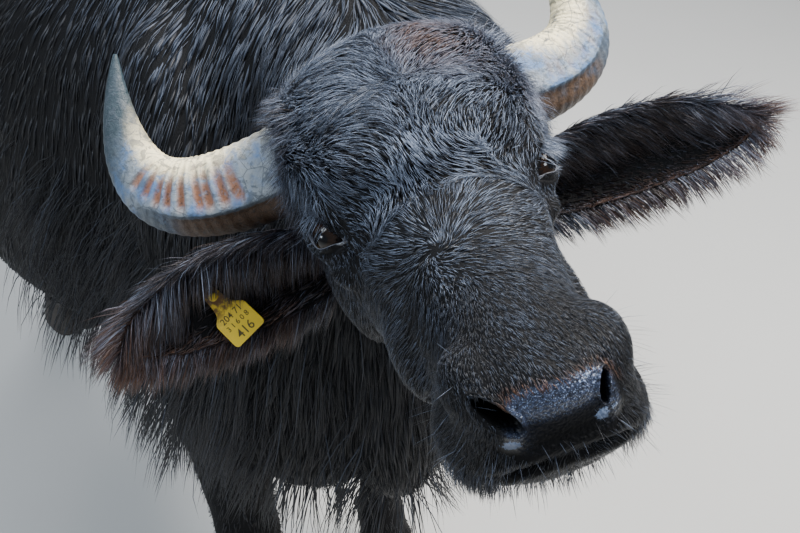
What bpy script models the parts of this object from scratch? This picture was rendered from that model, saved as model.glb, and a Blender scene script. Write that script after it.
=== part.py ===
"""A life-size water buffalo cow, standing with her head raised and turned to her right.

Metres, +Z up. She faces -Y, her left side is +X, and her soles are at Z 0.
The flesh is shaped as one body from lofts and muscles, and then parted into head, neck, torso and legs.
Her long winter coat is flat tapered locks, fused to the piece that each grows from.
"""

from math import cos, pi, radians, sin

import bmesh
import bpy
import numpy as np
from mathutils import Matrix, Vector
from mathutils.bvhtree import BVHTree

# Driving dimensions
BODY_GAP = 0.0003  # between pieces that touch
VOXEL = 0.011  # grain of the fused body before it is thinned out
SMOOTH_ROUNDS = 6
TRIANGLES = {"torso": 1450, "neck": 1000, "head": 1550, "leg": 400}  # before locks and cuts
SHARP_ANGLE = radians(50)  # edges sharper than this aren't shaded smooth
MARGIN = 0.03  # how far a piece is thinned out past its parting cut

EYES_AT = Vector((-0.065, -0.555, 1.235))  # the point midway between the two eyes
HEAD_YAW = radians(15.4)  # towards her right
HEAD_LIFT = radians(8.0)
HEAD_ROLL = radians(11.4)  # the crown leans to her right

EYE_RADIUS = 0.021
EYE_CENTRE = Vector((0.1045, -0.004, -0.001))  # her left eye in the head's own axes
NOSTRIL_ARCH = 0.009  # how far the two ends of a nostril hang below its middle
SOLE_TO_CORONET = 0.072
DEWCLAW_APART = 0.024  # each side of the foot's middle
DEWCLAW_AT = (0.075, 0.045)  # behind and over the middle of the coronet
DEWCLAW_RADII = (0.014, 0.018, 0.020)
CLAW_SIDES = 12
CLAW_LEAN = 0.12  # the toes point slightly in
STEP = {"front_right": -0.15, "front_left": 0.03, "hind_right": 0.09, "hind_left": -0.07}

SIDES = {"left": 1, "right": -1}

HORN_BASE = (0.036, 0.049)  # half depth and half height where it leaves the skull
HORN_TIP = 0.0022
HORN_RINGS = 18
HORN_GROOVE = 0.0016
HORN_GROOVED = (0.28, 0.70)  # from where to where along the horn
# The horn's centre line in the head's own axes, as a Bezier curve: out, down and back, then up
HORN_LINE = {
    "left": [(0.047, 0.099, 0.057), (0.247, 0.130, -0.002), (0.295, 0.183, 0.042), (0.206, 0.278, 0.206)],
    "right": [(0.048, 0.099, 0.059), (0.268, 0.115, -0.016), (0.324, 0.167, 0.025), (0.269, 0.249, 0.169)],
}

EAR_ROOT = Vector((0.110, 0.082, -0.064))
EAR_TIP = {"left": Vector((0.388, 0.049, -0.062)), "right": Vector((-0.360, 0.053, -0.080))}
EAR_WIDTHS = [  # share of the way to the tip, half width
    (0.00, 0.034),
    (0.10, 0.042),
    (0.25, 0.050),
    (0.42, 0.053),
    (0.60, 0.050),
    (0.75, 0.042),
    (0.88, 0.029),
    (0.96, 0.016),
    (1.00, 0.005),
]
EAR_STATIONS = (0.0, 0.08, 0.17, 0.27, 0.38, 0.50, 0.62, 0.73, 0.83, 0.91, 0.96, 1.0)
EAR_CUP = 0.040
EAR_BOW = 0.010
EAR_THICK = 0.0080

TAGGED = "right"
TAG_PIN_AT = (0.555, -0.10)  # share of the way along the ear, and across it
TAG_END_AT = (0.478, -1.00)
TAG_PIN_RADIUS = 0.0030
TAG_BUTTON_RADIUS = 0.0120
TAG_STANDOFF = 0.0054
TAG_THICK = 0.0016

EYELID = (0.0225, 0.0150)  # half length and half height of the ring round the eye
EYELID_THICK = (0.0056, 0.0042)  # the upper and the lower lid
EYELID_STEPS = (14, 5)  # round the eye, and round the lid's own section
GAZE = (0.86, -0.42, 0.12)  # of her left eye

NECK_CUT = (Vector((0.0, -0.235, 1.10)), Vector((0.02, -0.75, 0.66)))  # torso behind it
THROAT_CUT = (Vector((0, 0.182, -0.06)), Vector((0, 1.0, 0.10)))  # in the head's own axes
JAW_CUT = (Vector((0, 0.150, -0.206)), Vector((0, 0, -1.0)))  # the neck may hang lower in front

# Where the legs part from the torso on her left: a point and the normal of the sloping cut
# over the leg, and the y of the cuts before and behind it
LEG_CUTS = {
    "front": ((0.155, 0, 0.665), (-0.55, 0, 0.83), -0.42, 0.13),
    "hind": ((0.16, 0.98, 0.745), (-0.40, -0.35, 0.85), 0.79, 1.50),
}
LEG_CUT_IN = 0.015  # how near the middle a leg reaches

# Each lock is a flat three-sided blade: stations as shares of its length, and there the share
# of its full width and of its rise over the surface that it lies on
LOCK_STATIONS = [
    (0.00, 0.60, 0.0),
    (0.30, 1.00, 0.7),
    (0.65, 0.80, 1.0),
    (1.00, 0.10, 0.9),
]
LOCK_SINK = 0.009  # how deep its root sits
GOLDEN_TURN = radians(137.5)  # from one lock of the tail to the next, round it

# Coats: seed, number, distance between roots, length, half width, thickness and rise over the skin
CROWN_COAT = (3, 34, 0.030, (0.050, 0.074), 0.0140, 0.0080, 0.0200)
CHIN_COAT = (5, 8, 0.027, (0.036, 0.052), 0.0110, 0.0060, 0.0140)
BODY_COAT = (8, 50, 0.130, (0.180, 0.260), 0.0400, 0.0110, 0.0130)
NECK_COAT = (9, 18, 0.095, (0.140, 0.200), 0.0330, 0.0110, 0.0130)

TRIES = 400  # draws for each lock wanted
LOCK_BEND = 0.3  # the most that a lock bends sideways, as a share of its length
LOCK_VARIES = (0.85, 1.15)

CROWN_AREA = (0.118, -0.055, 0.150, 0.055)  # half width, front, back and lowest, in the head's axes
CROWN_PARTING = 0.105  # locks behind it fall back, and those before it over the forehead
CHIN_AREA = (-0.30, -0.16, -0.125)  # front, back and highest
COAT_LOWEST = 0.56
COAT_LAST = 0.98  # the locks of the body stop at the rump
COAT_UNDER = -0.55  # and where the surface faces down more than this
LEG_CLEARANCE = Vector((0, 0.09, -0.10))  # how far before and over a leg they stop
HEAD_CLEARANCE = Vector((0, -0.03, 0))

EAR_LOCKS = 8  # along each rim
EAR_LOCK_SPAN = (0.20, 0.97)  # from where to where along the ear
EAR_LOCK_ROOT = 0.72  # how far across the ear they are rooted
EAR_LOCK_DROOP = 0.35
EAR_LOCK_LENGTHS = {"upper": (0.030, 0.052), "lower": (0.040, 0.068)}
EAR_LOCK_SIZE = (0.0135, 0.0042)  # half width and thickness
BEHIND_TAG = 0.22  # as a share of the ear's length, how near the tag its locks lean back
TAIL_LOCKS = 10
TAIL_LOCK_SIZE = (0.0160, 0.0100)
TAIL_LOCK_SPREAD = (0.004, 0.030)  # from the middle at the root, and how much more half way
TAIL_LOCK_UNEVEN = 0.09  # how far over the lowest tip the highest ends

# Torso stations: y, top, bottom, half width, height of the widest place as a share, fullness
TORSO = [
    (-0.385, 1.030, 0.860, 0.070, 0.50, 2.0),
    (-0.350, 1.110, 0.760, 0.155, 0.50, 2.0),
    (-0.270, 1.200, 0.680, 0.220, 0.48, 2.1),
    (-0.140, 1.290, 0.620, 0.255, 0.44, 2.2),
    (0.000, 1.340, 0.585, 0.270, 0.40, 2.1),
    (0.150, 1.330, 0.545, 0.315, 0.35, 2.3),
    (0.320, 1.300, 0.500, 0.365, 0.35, 2.5),
    (0.520, 1.275, 0.475, 0.402, 0.37, 2.5),
    (0.700, 1.275, 0.500, 0.385, 0.41, 2.4),
    (0.840, 1.290, 0.580, 0.320, 0.52, 2.1),
    (0.960, 1.290, 0.645, 0.280, 0.56, 2.0),
    (1.060, 1.260, 0.730, 0.245, 0.55, 2.0),
    (1.140, 1.210, 0.820, 0.185, 0.52, 2.0),
    (1.185, 1.145, 0.910, 0.095, 0.50, 2.0),
]

# Neck stations: how far from the chest to the head, half width, height above and below the spine
NECK = [
    (0.00, 0.185, 0.255, 0.330),
    (0.25, 0.190, 0.245, 0.315),
    (0.50, 0.187, 0.215, 0.270),
    (0.72, 0.176, 0.175, 0.215),
    (0.88, 0.162, 0.140, 0.170),
    (1.00, 0.125, 0.100, 0.130),
]
NECK_START = Vector((0.0, 0.06, 1.055))
NECK_END_IN_HEAD = Vector((0.0, 0.105, -0.045))
NECK_ARCH = 0.030  # how far the spine's middle rises over a straight line
NECK_BOW = 0.065  # and how far it bows to her left, as the head turns right

# Head stations in the head's own axes: y (the muzzle is at -y), top, bottom, half width,
# height of the widest place as a share, fullness, and how much wider the top is than the bottom
HEAD = [
    (0.200, 0.060, -0.125, 0.094, 0.55, 2.1, 0.00),
    (0.160, 0.100, -0.165, 0.120, 0.60, 2.2, 0.03),
    (0.105, 0.119, -0.190, 0.131, 0.62, 2.4, 0.05),
    (0.045, 0.112, -0.194, 0.128, 0.62, 2.5, 0.05),
    (-0.010, 0.090, -0.186, 0.115, 0.60, 2.5, 0.05),
    (-0.070, 0.063, -0.172, 0.099, 0.54, 2.4, 0.00),
    (-0.135, 0.043, -0.158, 0.087, 0.48, 2.3, -0.08),
    (-0.200, 0.032, -0.146, 0.079, 0.44, 2.3, -0.12),
    (-0.260, 0.026, -0.138, 0.078, 0.42, 2.4, -0.12),
    (-0.305, 0.017, -0.127, 0.077, 0.42, 2.5, -0.10),
    (-0.332, 0.000, -0.110, 0.066, 0.45, 2.5, -0.06),
    (-0.347, -0.026, -0.086, 0.040, 0.50, 2.3, 0.00),
]

# Muscles and bones that swell the head: centre, radii, turn in degrees about X, Y and Z.
# Those off the middle are made on both sides.
HEAD_MASSES = [
    ((0.0, 0.105, 0.072), (0.116, 0.092, 0.066), (12, 0, 0)),  # crown
    ((0.0, 0.015, 0.060), (0.098, 0.094, 0.053), (-16, 0, 0)),  # domed forehead
    ((0.098, 0.010, 0.026), (0.026, 0.046, 0.024), (0, 0, 12)),  # brow over the eye
    ((0.103, -0.004, -0.038), (0.024, 0.044, 0.022), (0, 0, 10)),  # cheekbone under it
    ((0.088, 0.070, -0.095), (0.038, 0.090, 0.085), (20, 8, 0)),  # jaw muscle
    ((0.070, -0.100, -0.078), (0.030, 0.095, 0.045), (8, 0, 6)),  # cheek
    ((0.050, -0.290, -0.028), (0.033, 0.048, 0.038), (0, 0, -16)),  # wing of the nostril
    ((0.054, -0.268, -0.088), (0.038, 0.062, 0.034), (0, 0, -10)),  # upper lip
    ((0.0, -0.318, -0.030), (0.056, 0.034, 0.040), (20, 0, 0)),  # nose pad
    ((0.0, -0.258, -0.124), (0.066, 0.056, 0.024), (0, 0, 0)),  # chin
]

# Muscles and bones that swell the body, given the same way
BODY_MASSES = [
    ((0.185, -0.130, 0.990), (0.080, 0.150, 0.290), (-24, 0, 0)),  # shoulder
    ((0.205, -0.050, 0.790), (0.080, 0.160, 0.160), (15, 0, 0)),  # upper arm
    ((0.070, -0.235, 0.790), (0.155, 0.140, 0.220), (-10, 0, 0)),  # breast
    ((0.0, -0.310, 0.860), (0.110, 0.110, 0.270), (-16, 0, 0)),  # dewlap
    ((0.0, 0.040, 1.280), (0.060, 0.220, 0.078), (-3, 0, 0)),  # withers
    ((0.190, 0.890, 1.150), (0.085, 0.150, 0.095), (0, 25, 0)),  # hip bone
    ((0.175, 1.030, 0.940), (0.110, 0.175, 0.270), (-8, 0, 0)),  # haunch
    ((0.195, 0.900, 0.740), (0.075, 0.120, 0.140), (20, 0, 0)),  # stifle
    ((0.085, 1.145, 1.110), (0.055, 0.065, 0.075), (0, 0, 0)),  # pin bone
    ((0.0, 0.920, 0.620), (0.080, 0.120, 0.065), (10, 0, 0)),  # udder
]

# Leg stations from the body down: z, x, y, half width, half depth
FORE_LEG = [
    (0.820, 0.178, -0.030, 0.094, 0.130),
    (0.720, 0.172, -0.030, 0.088, 0.112),
    (0.620, 0.167, -0.036, 0.077, 0.089),
    (0.520, 0.164, -0.042, 0.064, 0.069),
    (0.430, 0.163, -0.050, 0.055, 0.058),
    (0.380, 0.162, -0.055, 0.057, 0.060),
    (0.330, 0.161, -0.048, 0.048, 0.052),
    (0.250, 0.160, -0.040, 0.040, 0.044),
    (0.175, 0.160, -0.040, 0.041, 0.047),
    (0.135, 0.160, -0.044, 0.049, 0.054),
    (0.100, 0.160, -0.058, 0.048, 0.052),
    (0.068, 0.160, -0.074, 0.056, 0.061),
]
HIND_LEG = [
    (0.880, 0.175, 1.000, 0.095, 0.190),
    (0.780, 0.175, 0.975, 0.088, 0.160),
    (0.680, 0.172, 0.985, 0.077, 0.125),
    (0.590, 0.167, 1.020, 0.062, 0.094),
    (0.520, 0.162, 1.060, 0.050, 0.074),
    (0.460, 0.159, 1.080, 0.047, 0.067),
    (0.390, 0.157, 1.070, 0.043, 0.054),
    (0.300, 0.156, 1.050, 0.040, 0.047),
    (0.200, 0.155, 1.035, 0.040, 0.046),
    (0.145, 0.155, 1.025, 0.048, 0.053),
    (0.105, 0.155, 1.005, 0.047, 0.051),
    (0.068, 0.155, 0.990, 0.054, 0.060),
]

# A claw's stations: z, then how far out and forward of the coronet's centre, half width,
# and half length forward and back
CLAW = [
    (0.000, 0.033, -0.022, 0.0290, 0.066, 0.052),
    (0.014, 0.033, -0.021, 0.0295, 0.064, 0.050),
    (0.040, 0.029, -0.014, 0.0270, 0.056, 0.046),
    (SOLE_TO_CORONET - BODY_GAP, 0.026, -0.004, 0.0240, 0.046, 0.040),
]

# The line of the mouth on her left, from the front, in the head's own axes
MOUTH = [
    (0.000, -0.352, -0.078),
    (0.030, -0.346, -0.080),
    (0.058, -0.325, -0.085),
    (0.076, -0.275, -0.094),
    (0.076, -0.215, -0.094),
    (0.074, -0.160, -0.084),
]
MOUTH_SLOT = (0.012, 0.020, 0.0055)  # how deep it is cut, how far out, and half its height there

# Her left nostril from the front back: its centre, half width and half height
NOSTRIL = [
    ((0.047, -0.368, -0.032), 0.024, 0.0095),
    ((0.046, -0.335, -0.025), 0.022, 0.0100),
    ((0.045, -0.305, -0.019), 0.014, 0.0090),
    ((0.043, -0.275, -0.016), 0.006, 0.0060),
]

# The tag's outline on her right from the pin down: half widths and heights
TAG_OUTLINE = [
    (0.0085, 0.0085),
    (0.0095, -0.0060),
    (0.0120, -0.0180),
    (0.0210, -0.0260),
    (0.0215, -0.0560),
    (0.0190, -0.0590),
]

# Tail stations: y, z, radius
TAIL = [
    (1.080, 1.195, 0.046),
    (1.145, 1.192, 0.040),
    (1.200, 1.145, 0.032),
    (1.230, 1.050, 0.026),
    (1.240, 0.900, 0.022),
    (1.236, 0.740, 0.018),
    (1.228, 0.600, 0.015),
    (1.222, 0.500, 0.013),
]
TAIL_SWITCH_FROM = 0.56  # the heights that its long hair grows between
TAIL_SWITCH_TO = 0.49
TAIL_TIP = 0.25

COLOURS = {  # base colour, roughness
    "hide": ((0.022, 0.022, 0.026, 1), 0.62),
    "horn": ((0.46, 0.42, 0.36, 1), 0.45),
    "eye": ((0.020, 0.010, 0.006, 1), 0.08),
    "hoof": ((0.035, 0.031, 0.028, 1), 0.50),
    "tag_yellow": ((0.80, 0.56, 0.06, 1), 0.42),
}


def clear_scene():
    for obj in list(bpy.data.objects):
        bpy.data.objects.remove(obj)


def material(name):
    """The material of that name, made once."""
    found = bpy.data.materials.get(name)
    if found:
        return found
    made = bpy.data.materials.new(name)
    made.use_nodes = True
    colour, roughness = COLOURS[name]
    shader = made.node_tree.nodes["Principled BSDF"]
    shader.inputs["Base Color"].default_value = colour
    shader.inputs["Roughness"].default_value = roughness
    return made


def new_object(name, mesh):
    obj = bpy.data.objects.new(name, mesh)
    bpy.context.scene.collection.objects.link(obj)
    return obj


def finish_piece(obj, name, slot):
    """Names a finished piece, colours it and shades it smooth except at its sharp edges."""
    obj.name = name
    obj.data.materials.clear()
    obj.data.materials.append(material(slot))
    obj.data.shade_smooth()
    obj.data.set_sharp_from_angle(angle=SHARP_ANGLE)
    return obj


def smooth_rows(rows, steps):
    """A table's rows, with others between them on a Catmull-Rom curve."""
    rows = np.array(rows, float)
    padded = np.vstack([2 * rows[0] - rows[1], rows, 2 * rows[-1] - rows[-2]])
    out = []
    for a, b, c, d in zip(padded, padded[1:], padded[2:], padded[3:]):
        for t in np.arange(steps) / steps:
            out.append(
                b
                + 0.5 * t * (c - a)
                + t * t * (a - 2.5 * b + 2 * c - 0.5 * d)
                + t**3 * (-0.5 * a + 1.5 * b - 1.5 * c + 0.5 * d)
            )
    out.append(rows[-1])
    return np.array(out)


def power(value, exponent):
    """value to a power, keeping its sign."""
    return abs(value) ** exponent * (1 if value >= 0 else -1)


def section(sides, half_width, up, down, fullness=2.0, flare=0.0):
    """(sideways, upwards) points of an egg-shaped section, starting at its side."""
    points = []
    for k in range(sides):
        angle = 2 * pi * k / sides
        high = power(sin(angle), 2 / fullness)
        wide = half_width * power(cos(angle), 2 / fullness) * (1 + flare * high)
        points.append((wide, high * (up if high > 0 else down)))
    return points


def loft(rings):
    """A closed mesh object through rings of points, each with as many."""
    mesh = bmesh.new()
    loops = [[mesh.verts.new(point) for point in ring] for ring in rings]
    for near, far in zip(loops, loops[1:]):
        for k in range(len(near)):
            n = (k + 1) % len(near)
            mesh.faces.new((near[k], near[n], far[n], far[k]))
    mesh.faces.new(reversed(loops[0]))
    mesh.faces.new(loops[-1])
    bmesh.ops.recalc_face_normals(mesh, faces=mesh.faces)
    data = bpy.data.meshes.new("loft")
    mesh.to_mesh(data)
    mesh.free()
    return new_object("loft", data)


def tube_rings(centres, sections, upright=Vector((0, 0, 1))):
    """Rings set square to a line through centres, each from its own section."""
    centres = [Vector(c) for c in centres]
    rings = []
    for k, (centre, outline) in enumerate(zip(centres, sections)):
        along = centres[min(k + 1, len(centres) - 1)] - centres[max(k - 1, 0)]
        side = along.cross(upright).normalized()
        rise = side.cross(along).normalized()
        rings.append([centre + side * a + rise * b for a, b in outline])
    return rings


def ellipsoid(centre, radii, turn_deg=(0, 0, 0)):
    mesh = bmesh.new()
    bmesh.ops.create_uvsphere(mesh, u_segments=28, v_segments=16, radius=1)
    turn = Matrix.Translation(centre)
    for axis, degrees in zip("XYZ", turn_deg):
        turn = turn @ Matrix.Rotation(radians(degrees), 4, axis)
    turn = turn @ Matrix.Diagonal((*radii, 1))
    bmesh.ops.transform(mesh, matrix=turn, verts=mesh.verts)
    data = bpy.data.meshes.new("mass")
    mesh.to_mesh(data)
    mesh.free()
    return new_object("mass", data)


def on_both_sides(masses):
    """The rows of masses, with a mirrored one for each that isn't on the middle."""
    out = []
    for (x, y, z), radii, (tx, ty, tz) in masses:
        out.append(((x, y, z), radii, (tx, ty, tz)))
        if x:
            out.append(((-x, y, z), radii, (tx, -ty, -tz)))
    return out


def moved(obj, matrix):
    obj.data.transform(matrix)
    return obj


def head_matrix():
    """From the head's own axes to the world's."""
    yaw = Matrix.Rotation(-HEAD_YAW, 4, "Z")
    lift = Matrix.Rotation(-HEAD_LIFT, 4, "X")
    roll = Matrix.Rotation(-HEAD_ROLL, 4, "Y")
    return Matrix.Translation(EYES_AT) @ yaw @ lift @ roll


def settle(obj):
    """Replaces the object's mesh with its evaluated one and drops its modifiers."""
    graph = bpy.context.evaluated_depsgraph_get()
    mesh = bpy.data.meshes.new_from_object(obj.evaluated_get(graph))
    obj.modifiers.clear()
    old = obj.data
    obj.data = mesh
    bpy.data.meshes.remove(old)
    return obj


def drop(*objects):
    for obj in objects:
        bpy.data.objects.remove(obj)


def joined(objects):
    """One object with the faces of all of them, which are removed."""
    mesh = bmesh.new()
    for obj in objects:
        mesh.from_mesh(obj.data)
    data = bpy.data.meshes.new("joined")
    mesh.to_mesh(data)
    mesh.free()
    drop(*objects)
    return new_object("joined", data)


def fused(objects, voxel, rounds):
    """The outer surface of overlapping closed shapes as one, with its creases rounded."""
    obj = joined(objects)
    remesh = obj.modifiers.new("remesh", "REMESH")
    remesh.mode = "VOXEL"
    remesh.voxel_size = voxel
    smooth = obj.modifiers.new("smooth", "SMOOTH")
    smooth.factor = 0.5
    smooth.iterations = rounds
    settle(obj)
    return keep_largest(obj)


def keep_largest(obj):
    """Leaves only the object's largest closed surface. Surfaces that share an edge are apart."""
    mesh = bmesh.new()
    mesh.from_mesh(obj.data)
    unseen = set(mesh.faces)
    bodies = []
    for first in mesh.faces:
        if first not in unseen:
            continue
        unseen.remove(first)
        body, front = [first], [first]
        while front:
            for edge in front.pop().edges:
                if len(edge.link_faces) != 2:
                    continue
                for face in edge.link_faces:
                    if face in unseen:
                        unseen.remove(face)
                        body.append(face)
                        front.append(face)
        bodies.append(body)
    bodies.sort(key=len)
    for body in bodies[:-1]:
        bmesh.ops.delete(mesh, geom=body, context="FACES")
    mesh.to_mesh(obj.data)
    mesh.free()
    return obj


def copy_of(obj):
    return new_object("copy", obj.data.copy())


def sliced(obj, planes, shift=0.0):
    """Keeps what lies inside every plane (point, outward normal), each moved out by shift."""
    mesh = bmesh.new()
    mesh.from_mesh(obj.data)
    for point, normal in planes:
        normal = normal.normalized()
        everything = mesh.verts[:] + mesh.edges[:] + mesh.faces[:]
        bmesh.ops.bisect_plane(
            mesh,
            geom=everything,
            plane_co=point + normal * shift,
            plane_no=normal,
            clear_outer=True,
        )
        rim = [edge for edge in mesh.edges if edge.is_boundary]
        if rim:
            caps = bmesh.ops.holes_fill(mesh, edges=rim, sides=0)["faces"]
            bmesh.ops.triangulate(mesh, faces=caps)
    mesh.to_mesh(obj.data)
    mesh.free()
    return obj


def block(planes, shift):
    """The convex solid inside the planes, each moved out by shift."""
    mesh = bmesh.new()
    bmesh.ops.create_cube(mesh, size=6)
    data = bpy.data.meshes.new("block")
    mesh.to_mesh(data)
    mesh.free()
    return sliced(new_object("block", data), planes, shift)


def thinned(obj, triangles):
    """Brings the mesh down to about that many triangles, keeping its shape."""
    mesh = bmesh.new()
    mesh.from_mesh(obj.data)
    bmesh.ops.triangulate(mesh, faces=mesh.faces)
    count = len(mesh.faces)
    mesh.to_mesh(obj.data)
    mesh.free()
    if count > triangles:
        thin = obj.modifiers.new("thin", "DECIMATE")
        thin.ratio = triangles / count
        settle(obj)
    return obj


def boolean(obj, others, operation, solver="EXACT"):
    """Joins or cuts obj by closed meshes, which are then removed."""
    group = bpy.data.collections.new("operands")
    bpy.context.scene.collection.children.link(group)
    for other in others:
        bpy.context.scene.collection.objects.unlink(other)
        group.objects.link(other)
    modifier = obj.modifiers.new("boolean", "BOOLEAN")
    modifier.operation = operation
    modifier.operand_type = "COLLECTION"
    modifier.collection = group
    modifier.solver = solver
    settle(obj)
    drop(*others)
    bpy.data.collections.remove(group)
    return keep_largest(obj)


def grown(obj, paths):
    """Joins a coat of locks to the piece that they are rooted in. Bent locks need this solver."""
    return boolean(obj, [lock(*path) for path in paths], "UNION", "MANIFOLD")


def swollen(obj, distance):
    """A copy whose surface is moved out by distance, to cut what grows from it."""
    copy = copy_of(obj)
    grow = copy.modifiers.new("grow", "DISPLACE")
    grow.strength = distance
    grow.mid_level = 0
    return settle(copy)


def surface_of(obj):
    """The object's surface, for finding the nearest point of it and the normal there."""
    return BVHTree.FromPolygons(
        [vertex.co for vertex in obj.data.vertices],
        [face.vertices for face in obj.data.polygons],
    )


def lock(centres, outs, half_width, thick):
    """One flat tapered lock through centres, its ridge towards outs."""
    rings = []
    for k, (share, width, rise) in enumerate(LOCK_STATIONS):
        along = centres[min(k + 1, len(centres) - 1)] - centres[max(k - 1, 0)]
        side = along.cross(outs[k]).normalized()
        out = side.cross(along).normalized()
        low = -out * thick * width * 0.4
        rings.append(
            [
                centres[k] + low - side * half_width * width,
                centres[k] + low + side * half_width * width,
                centres[k] - low * 1.5,
            ]
        )
    return loft(rings)


def lying_path(surface, root, lie, length, rise, bend):
    """The points of a lock that starts in the surface and lies along it, and the normals there."""
    centres, outs = [], []
    side = lie.cross(surface.find_nearest(root)[1]).normalized()
    for share, width, height in LOCK_STATIONS:
        target = root + lie * length * share + side * bend * share**2
        near, normal = surface.find_nearest(target)[:2]
        lift = rise * height if share else -LOCK_SINK
        centres.append(near + normal * lift)
        outs.append(normal)
    return centres, outs


def scattered(obj, draw, count, spacing, wanted):
    """Up to count points of the object's surface where wanted, no closer than spacing."""
    mesh = bmesh.new()
    mesh.from_mesh(obj.data)
    bmesh.ops.triangulate(mesh, faces=mesh.faces)
    faces = mesh.faces[:]
    areas = np.array([face.calc_area() for face in faces])
    picks = draw.choice(len(faces), size=count * TRIES, p=areas / areas.sum())
    points = []
    for pick in picks:
        a, b = sorted(draw.random(2))
        corners = [vertex.co for vertex in faces[pick].verts]
        point = corners[0] * a + corners[1] * (b - a) + corners[2] * (1 - b)
        if not wanted(point, faces[pick].normal):
            continue
        if all((point - other).length > spacing for other in points):
            points.append(point)
        if len(points) == count:
            break
    mesh.free()
    return points


def coat(obj, surface, sizes, wanted, lie_at):
    """Paths and sizes of the locks of one coat, rooted where wanted on obj, that lie on surface."""
    seed, count, spacing, lengths, half_width, thick, rise = sizes
    draw = np.random.default_rng(seed)
    locks = []
    for root in scattered(obj, draw, count, spacing, wanted):
        normal = surface.find_nearest(root)[1]
        lie = lie_at(root)
        lie = (lie - normal * lie.dot(normal)).normalized()
        length = draw.uniform(*lengths)
        bend = draw.uniform(-LOCK_BEND, LOCK_BEND) * length
        size = draw.uniform(*LOCK_VARIES)
        centres, outs = lying_path(surface, root, lie, length, rise * size, bend)
        locks.append((centres, outs, half_width * size, thick * size))
    return locks


def torso_loft():
    rings = []
    for y, top, bottom, half_width, share, fullness in smooth_rows(TORSO, 4):
        middle = bottom + share * (top - bottom)
        outline = section(36, half_width, top - middle, middle - bottom, fullness)
        rings.append([(a, y, middle + b) for a, b in outline])
    return loft(rings)


def neck_loft(head):
    start, end = NECK_START, head @ NECK_END_IN_HEAD
    rows = smooth_rows(NECK, 4)
    centres = []
    for share in rows[:, 0]:
        centre = start.lerp(end, share)
        centre.z += NECK_ARCH * sin(pi * share)
        centre.x += NECK_BOW * sin(pi * share**1.6)
        centres.append(centre)
    sections = [section(32, *row[1:4], 2.2) for row in rows]
    return loft(tube_rings(centres, sections))


def head_loft():
    rings = []
    for y, top, bottom, half_width, share, fullness, flare in smooth_rows(HEAD, 4):
        middle = bottom + share * (top - bottom)
        outline = section(36, half_width, top - middle, middle - bottom, fullness, flare)
        rings.append([(a, y, middle + b) for a, b in outline])
    return loft(rings)


def leg_loft(rows, side, step):
    """One leg. A step swings it from the shoulder or hip, so the foot moves most."""
    top = rows[0][0]
    rings = []
    for z, x, y, half_width, half_depth in smooth_rows(rows, 3):
        swing = step * (top - z) / (top - SOLE_TO_CORONET)
        outline = section(20, half_width, half_depth, half_depth)
        rings.append([(side * x + a, y + swing + b, z) for a, b in outline])
    return loft(rings)


def foot_of(leg):
    """(side, coronet centre) of a leg by its name."""
    rows = FORE_LEG if "front" in leg else HIND_LEG
    side = 1 if "left" in leg else -1
    return side, Vector((side * rows[-1][1], rows[-1][2] + STEP[leg], SOLE_TO_CORONET))


def dewclaws(leg):
    """The two small back claws over a foot."""
    side, coronet = foot_of(leg)
    return [
        ellipsoid(coronet + Vector((dx, *DEWCLAW_AT)), DEWCLAW_RADII, (25, 0, 0))
        for dx in (-DEWCLAW_APART, DEWCLAW_APART)
    ]


def whole_body(head):
    """Torso, neck, head and legs as one closed surface."""
    shapes = [torso_loft(), neck_loft(head), moved(head_loft(), head)]
    for leg, step in STEP.items():
        rows = FORE_LEG if "front" in leg else HIND_LEG
        shapes.append(leg_loft(rows, foot_of(leg)[0], step))
        shapes += dewclaws(leg)
    for row in on_both_sides(BODY_MASSES):
        shapes.append(ellipsoid(*row))
    for row in on_both_sides(HEAD_MASSES):
        shapes.append(moved(ellipsoid(*row), head))
    return fused(shapes, VOXEL, SMOOTH_ROUNDS)


def leg_planes(leg):
    """The planes that part a leg from the torso."""
    side = 1 if "left" in leg else -1
    point, normal, front, back = LEG_CUTS["front" if "front" in leg else "hind"]
    mirror = Vector((side, 1, 1))
    return [
        (Vector(point) * mirror, Vector(normal) * mirror),
        (Vector((side * LEG_CUT_IN, 0, 0)), Vector((-side, 0, 0))),
        (Vector((0, front, 0)), Vector((0, -1, 0))),
        (Vector((0, back, 0)), Vector((0, 1, 0))),
    ]


def flipped(plane):
    return plane[0], -plane[1]


def parted(whole, planes, triangles, locks=()):
    """The part of the body inside the planes, thinned out past the cut, grown over and then cut."""
    piece = sliced(copy_of(whole), planes, MARGIN)
    thinned(piece, triangles)
    near = [path for path in locks if any(within(point, planes) for point in path[0])]
    if near:
        grown(piece, near)
    return keep_largest(sliced(piece, planes, -BODY_GAP / 2))


def within(point, planes):
    return all((point - origin).dot(normal) < 0 for origin, normal in planes)


def claw(side_of_foot, coronet):
    """One of a foot's two claws, with a flat sole and a flat top."""
    rings = []
    for z, x, y, half_width, forward, back in CLAW:
        ring = []
        for a, b in section(CLAW_SIDES, half_width, back, forward, 2.4):
            lean = CLAW_LEAN * b
            ring.append((coronet.x + side_of_foot * (x + lean) + a, coronet.y + y + b, z))
        rings.append(ring)
    return loft(rings)


def make_feet():
    for leg in STEP:
        side, coronet = foot_of(leg)
        for name, way in (("outer", side), ("inner", -side)):
            piece = claw(way, coronet)
            finish_piece(piece, f"claw_{leg}_{name}", "hoof")


def make_legs(whole):
    for leg in STEP:
        planes = leg_planes(leg) + [
            (Vector((0, 0, SOLE_TO_CORONET)), Vector((0, 0, -1)))
        ]
        piece = parted(whole, planes, TRIANGLES["leg"])
        finish_piece(piece, f"leg_{leg}", "hide")


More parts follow.
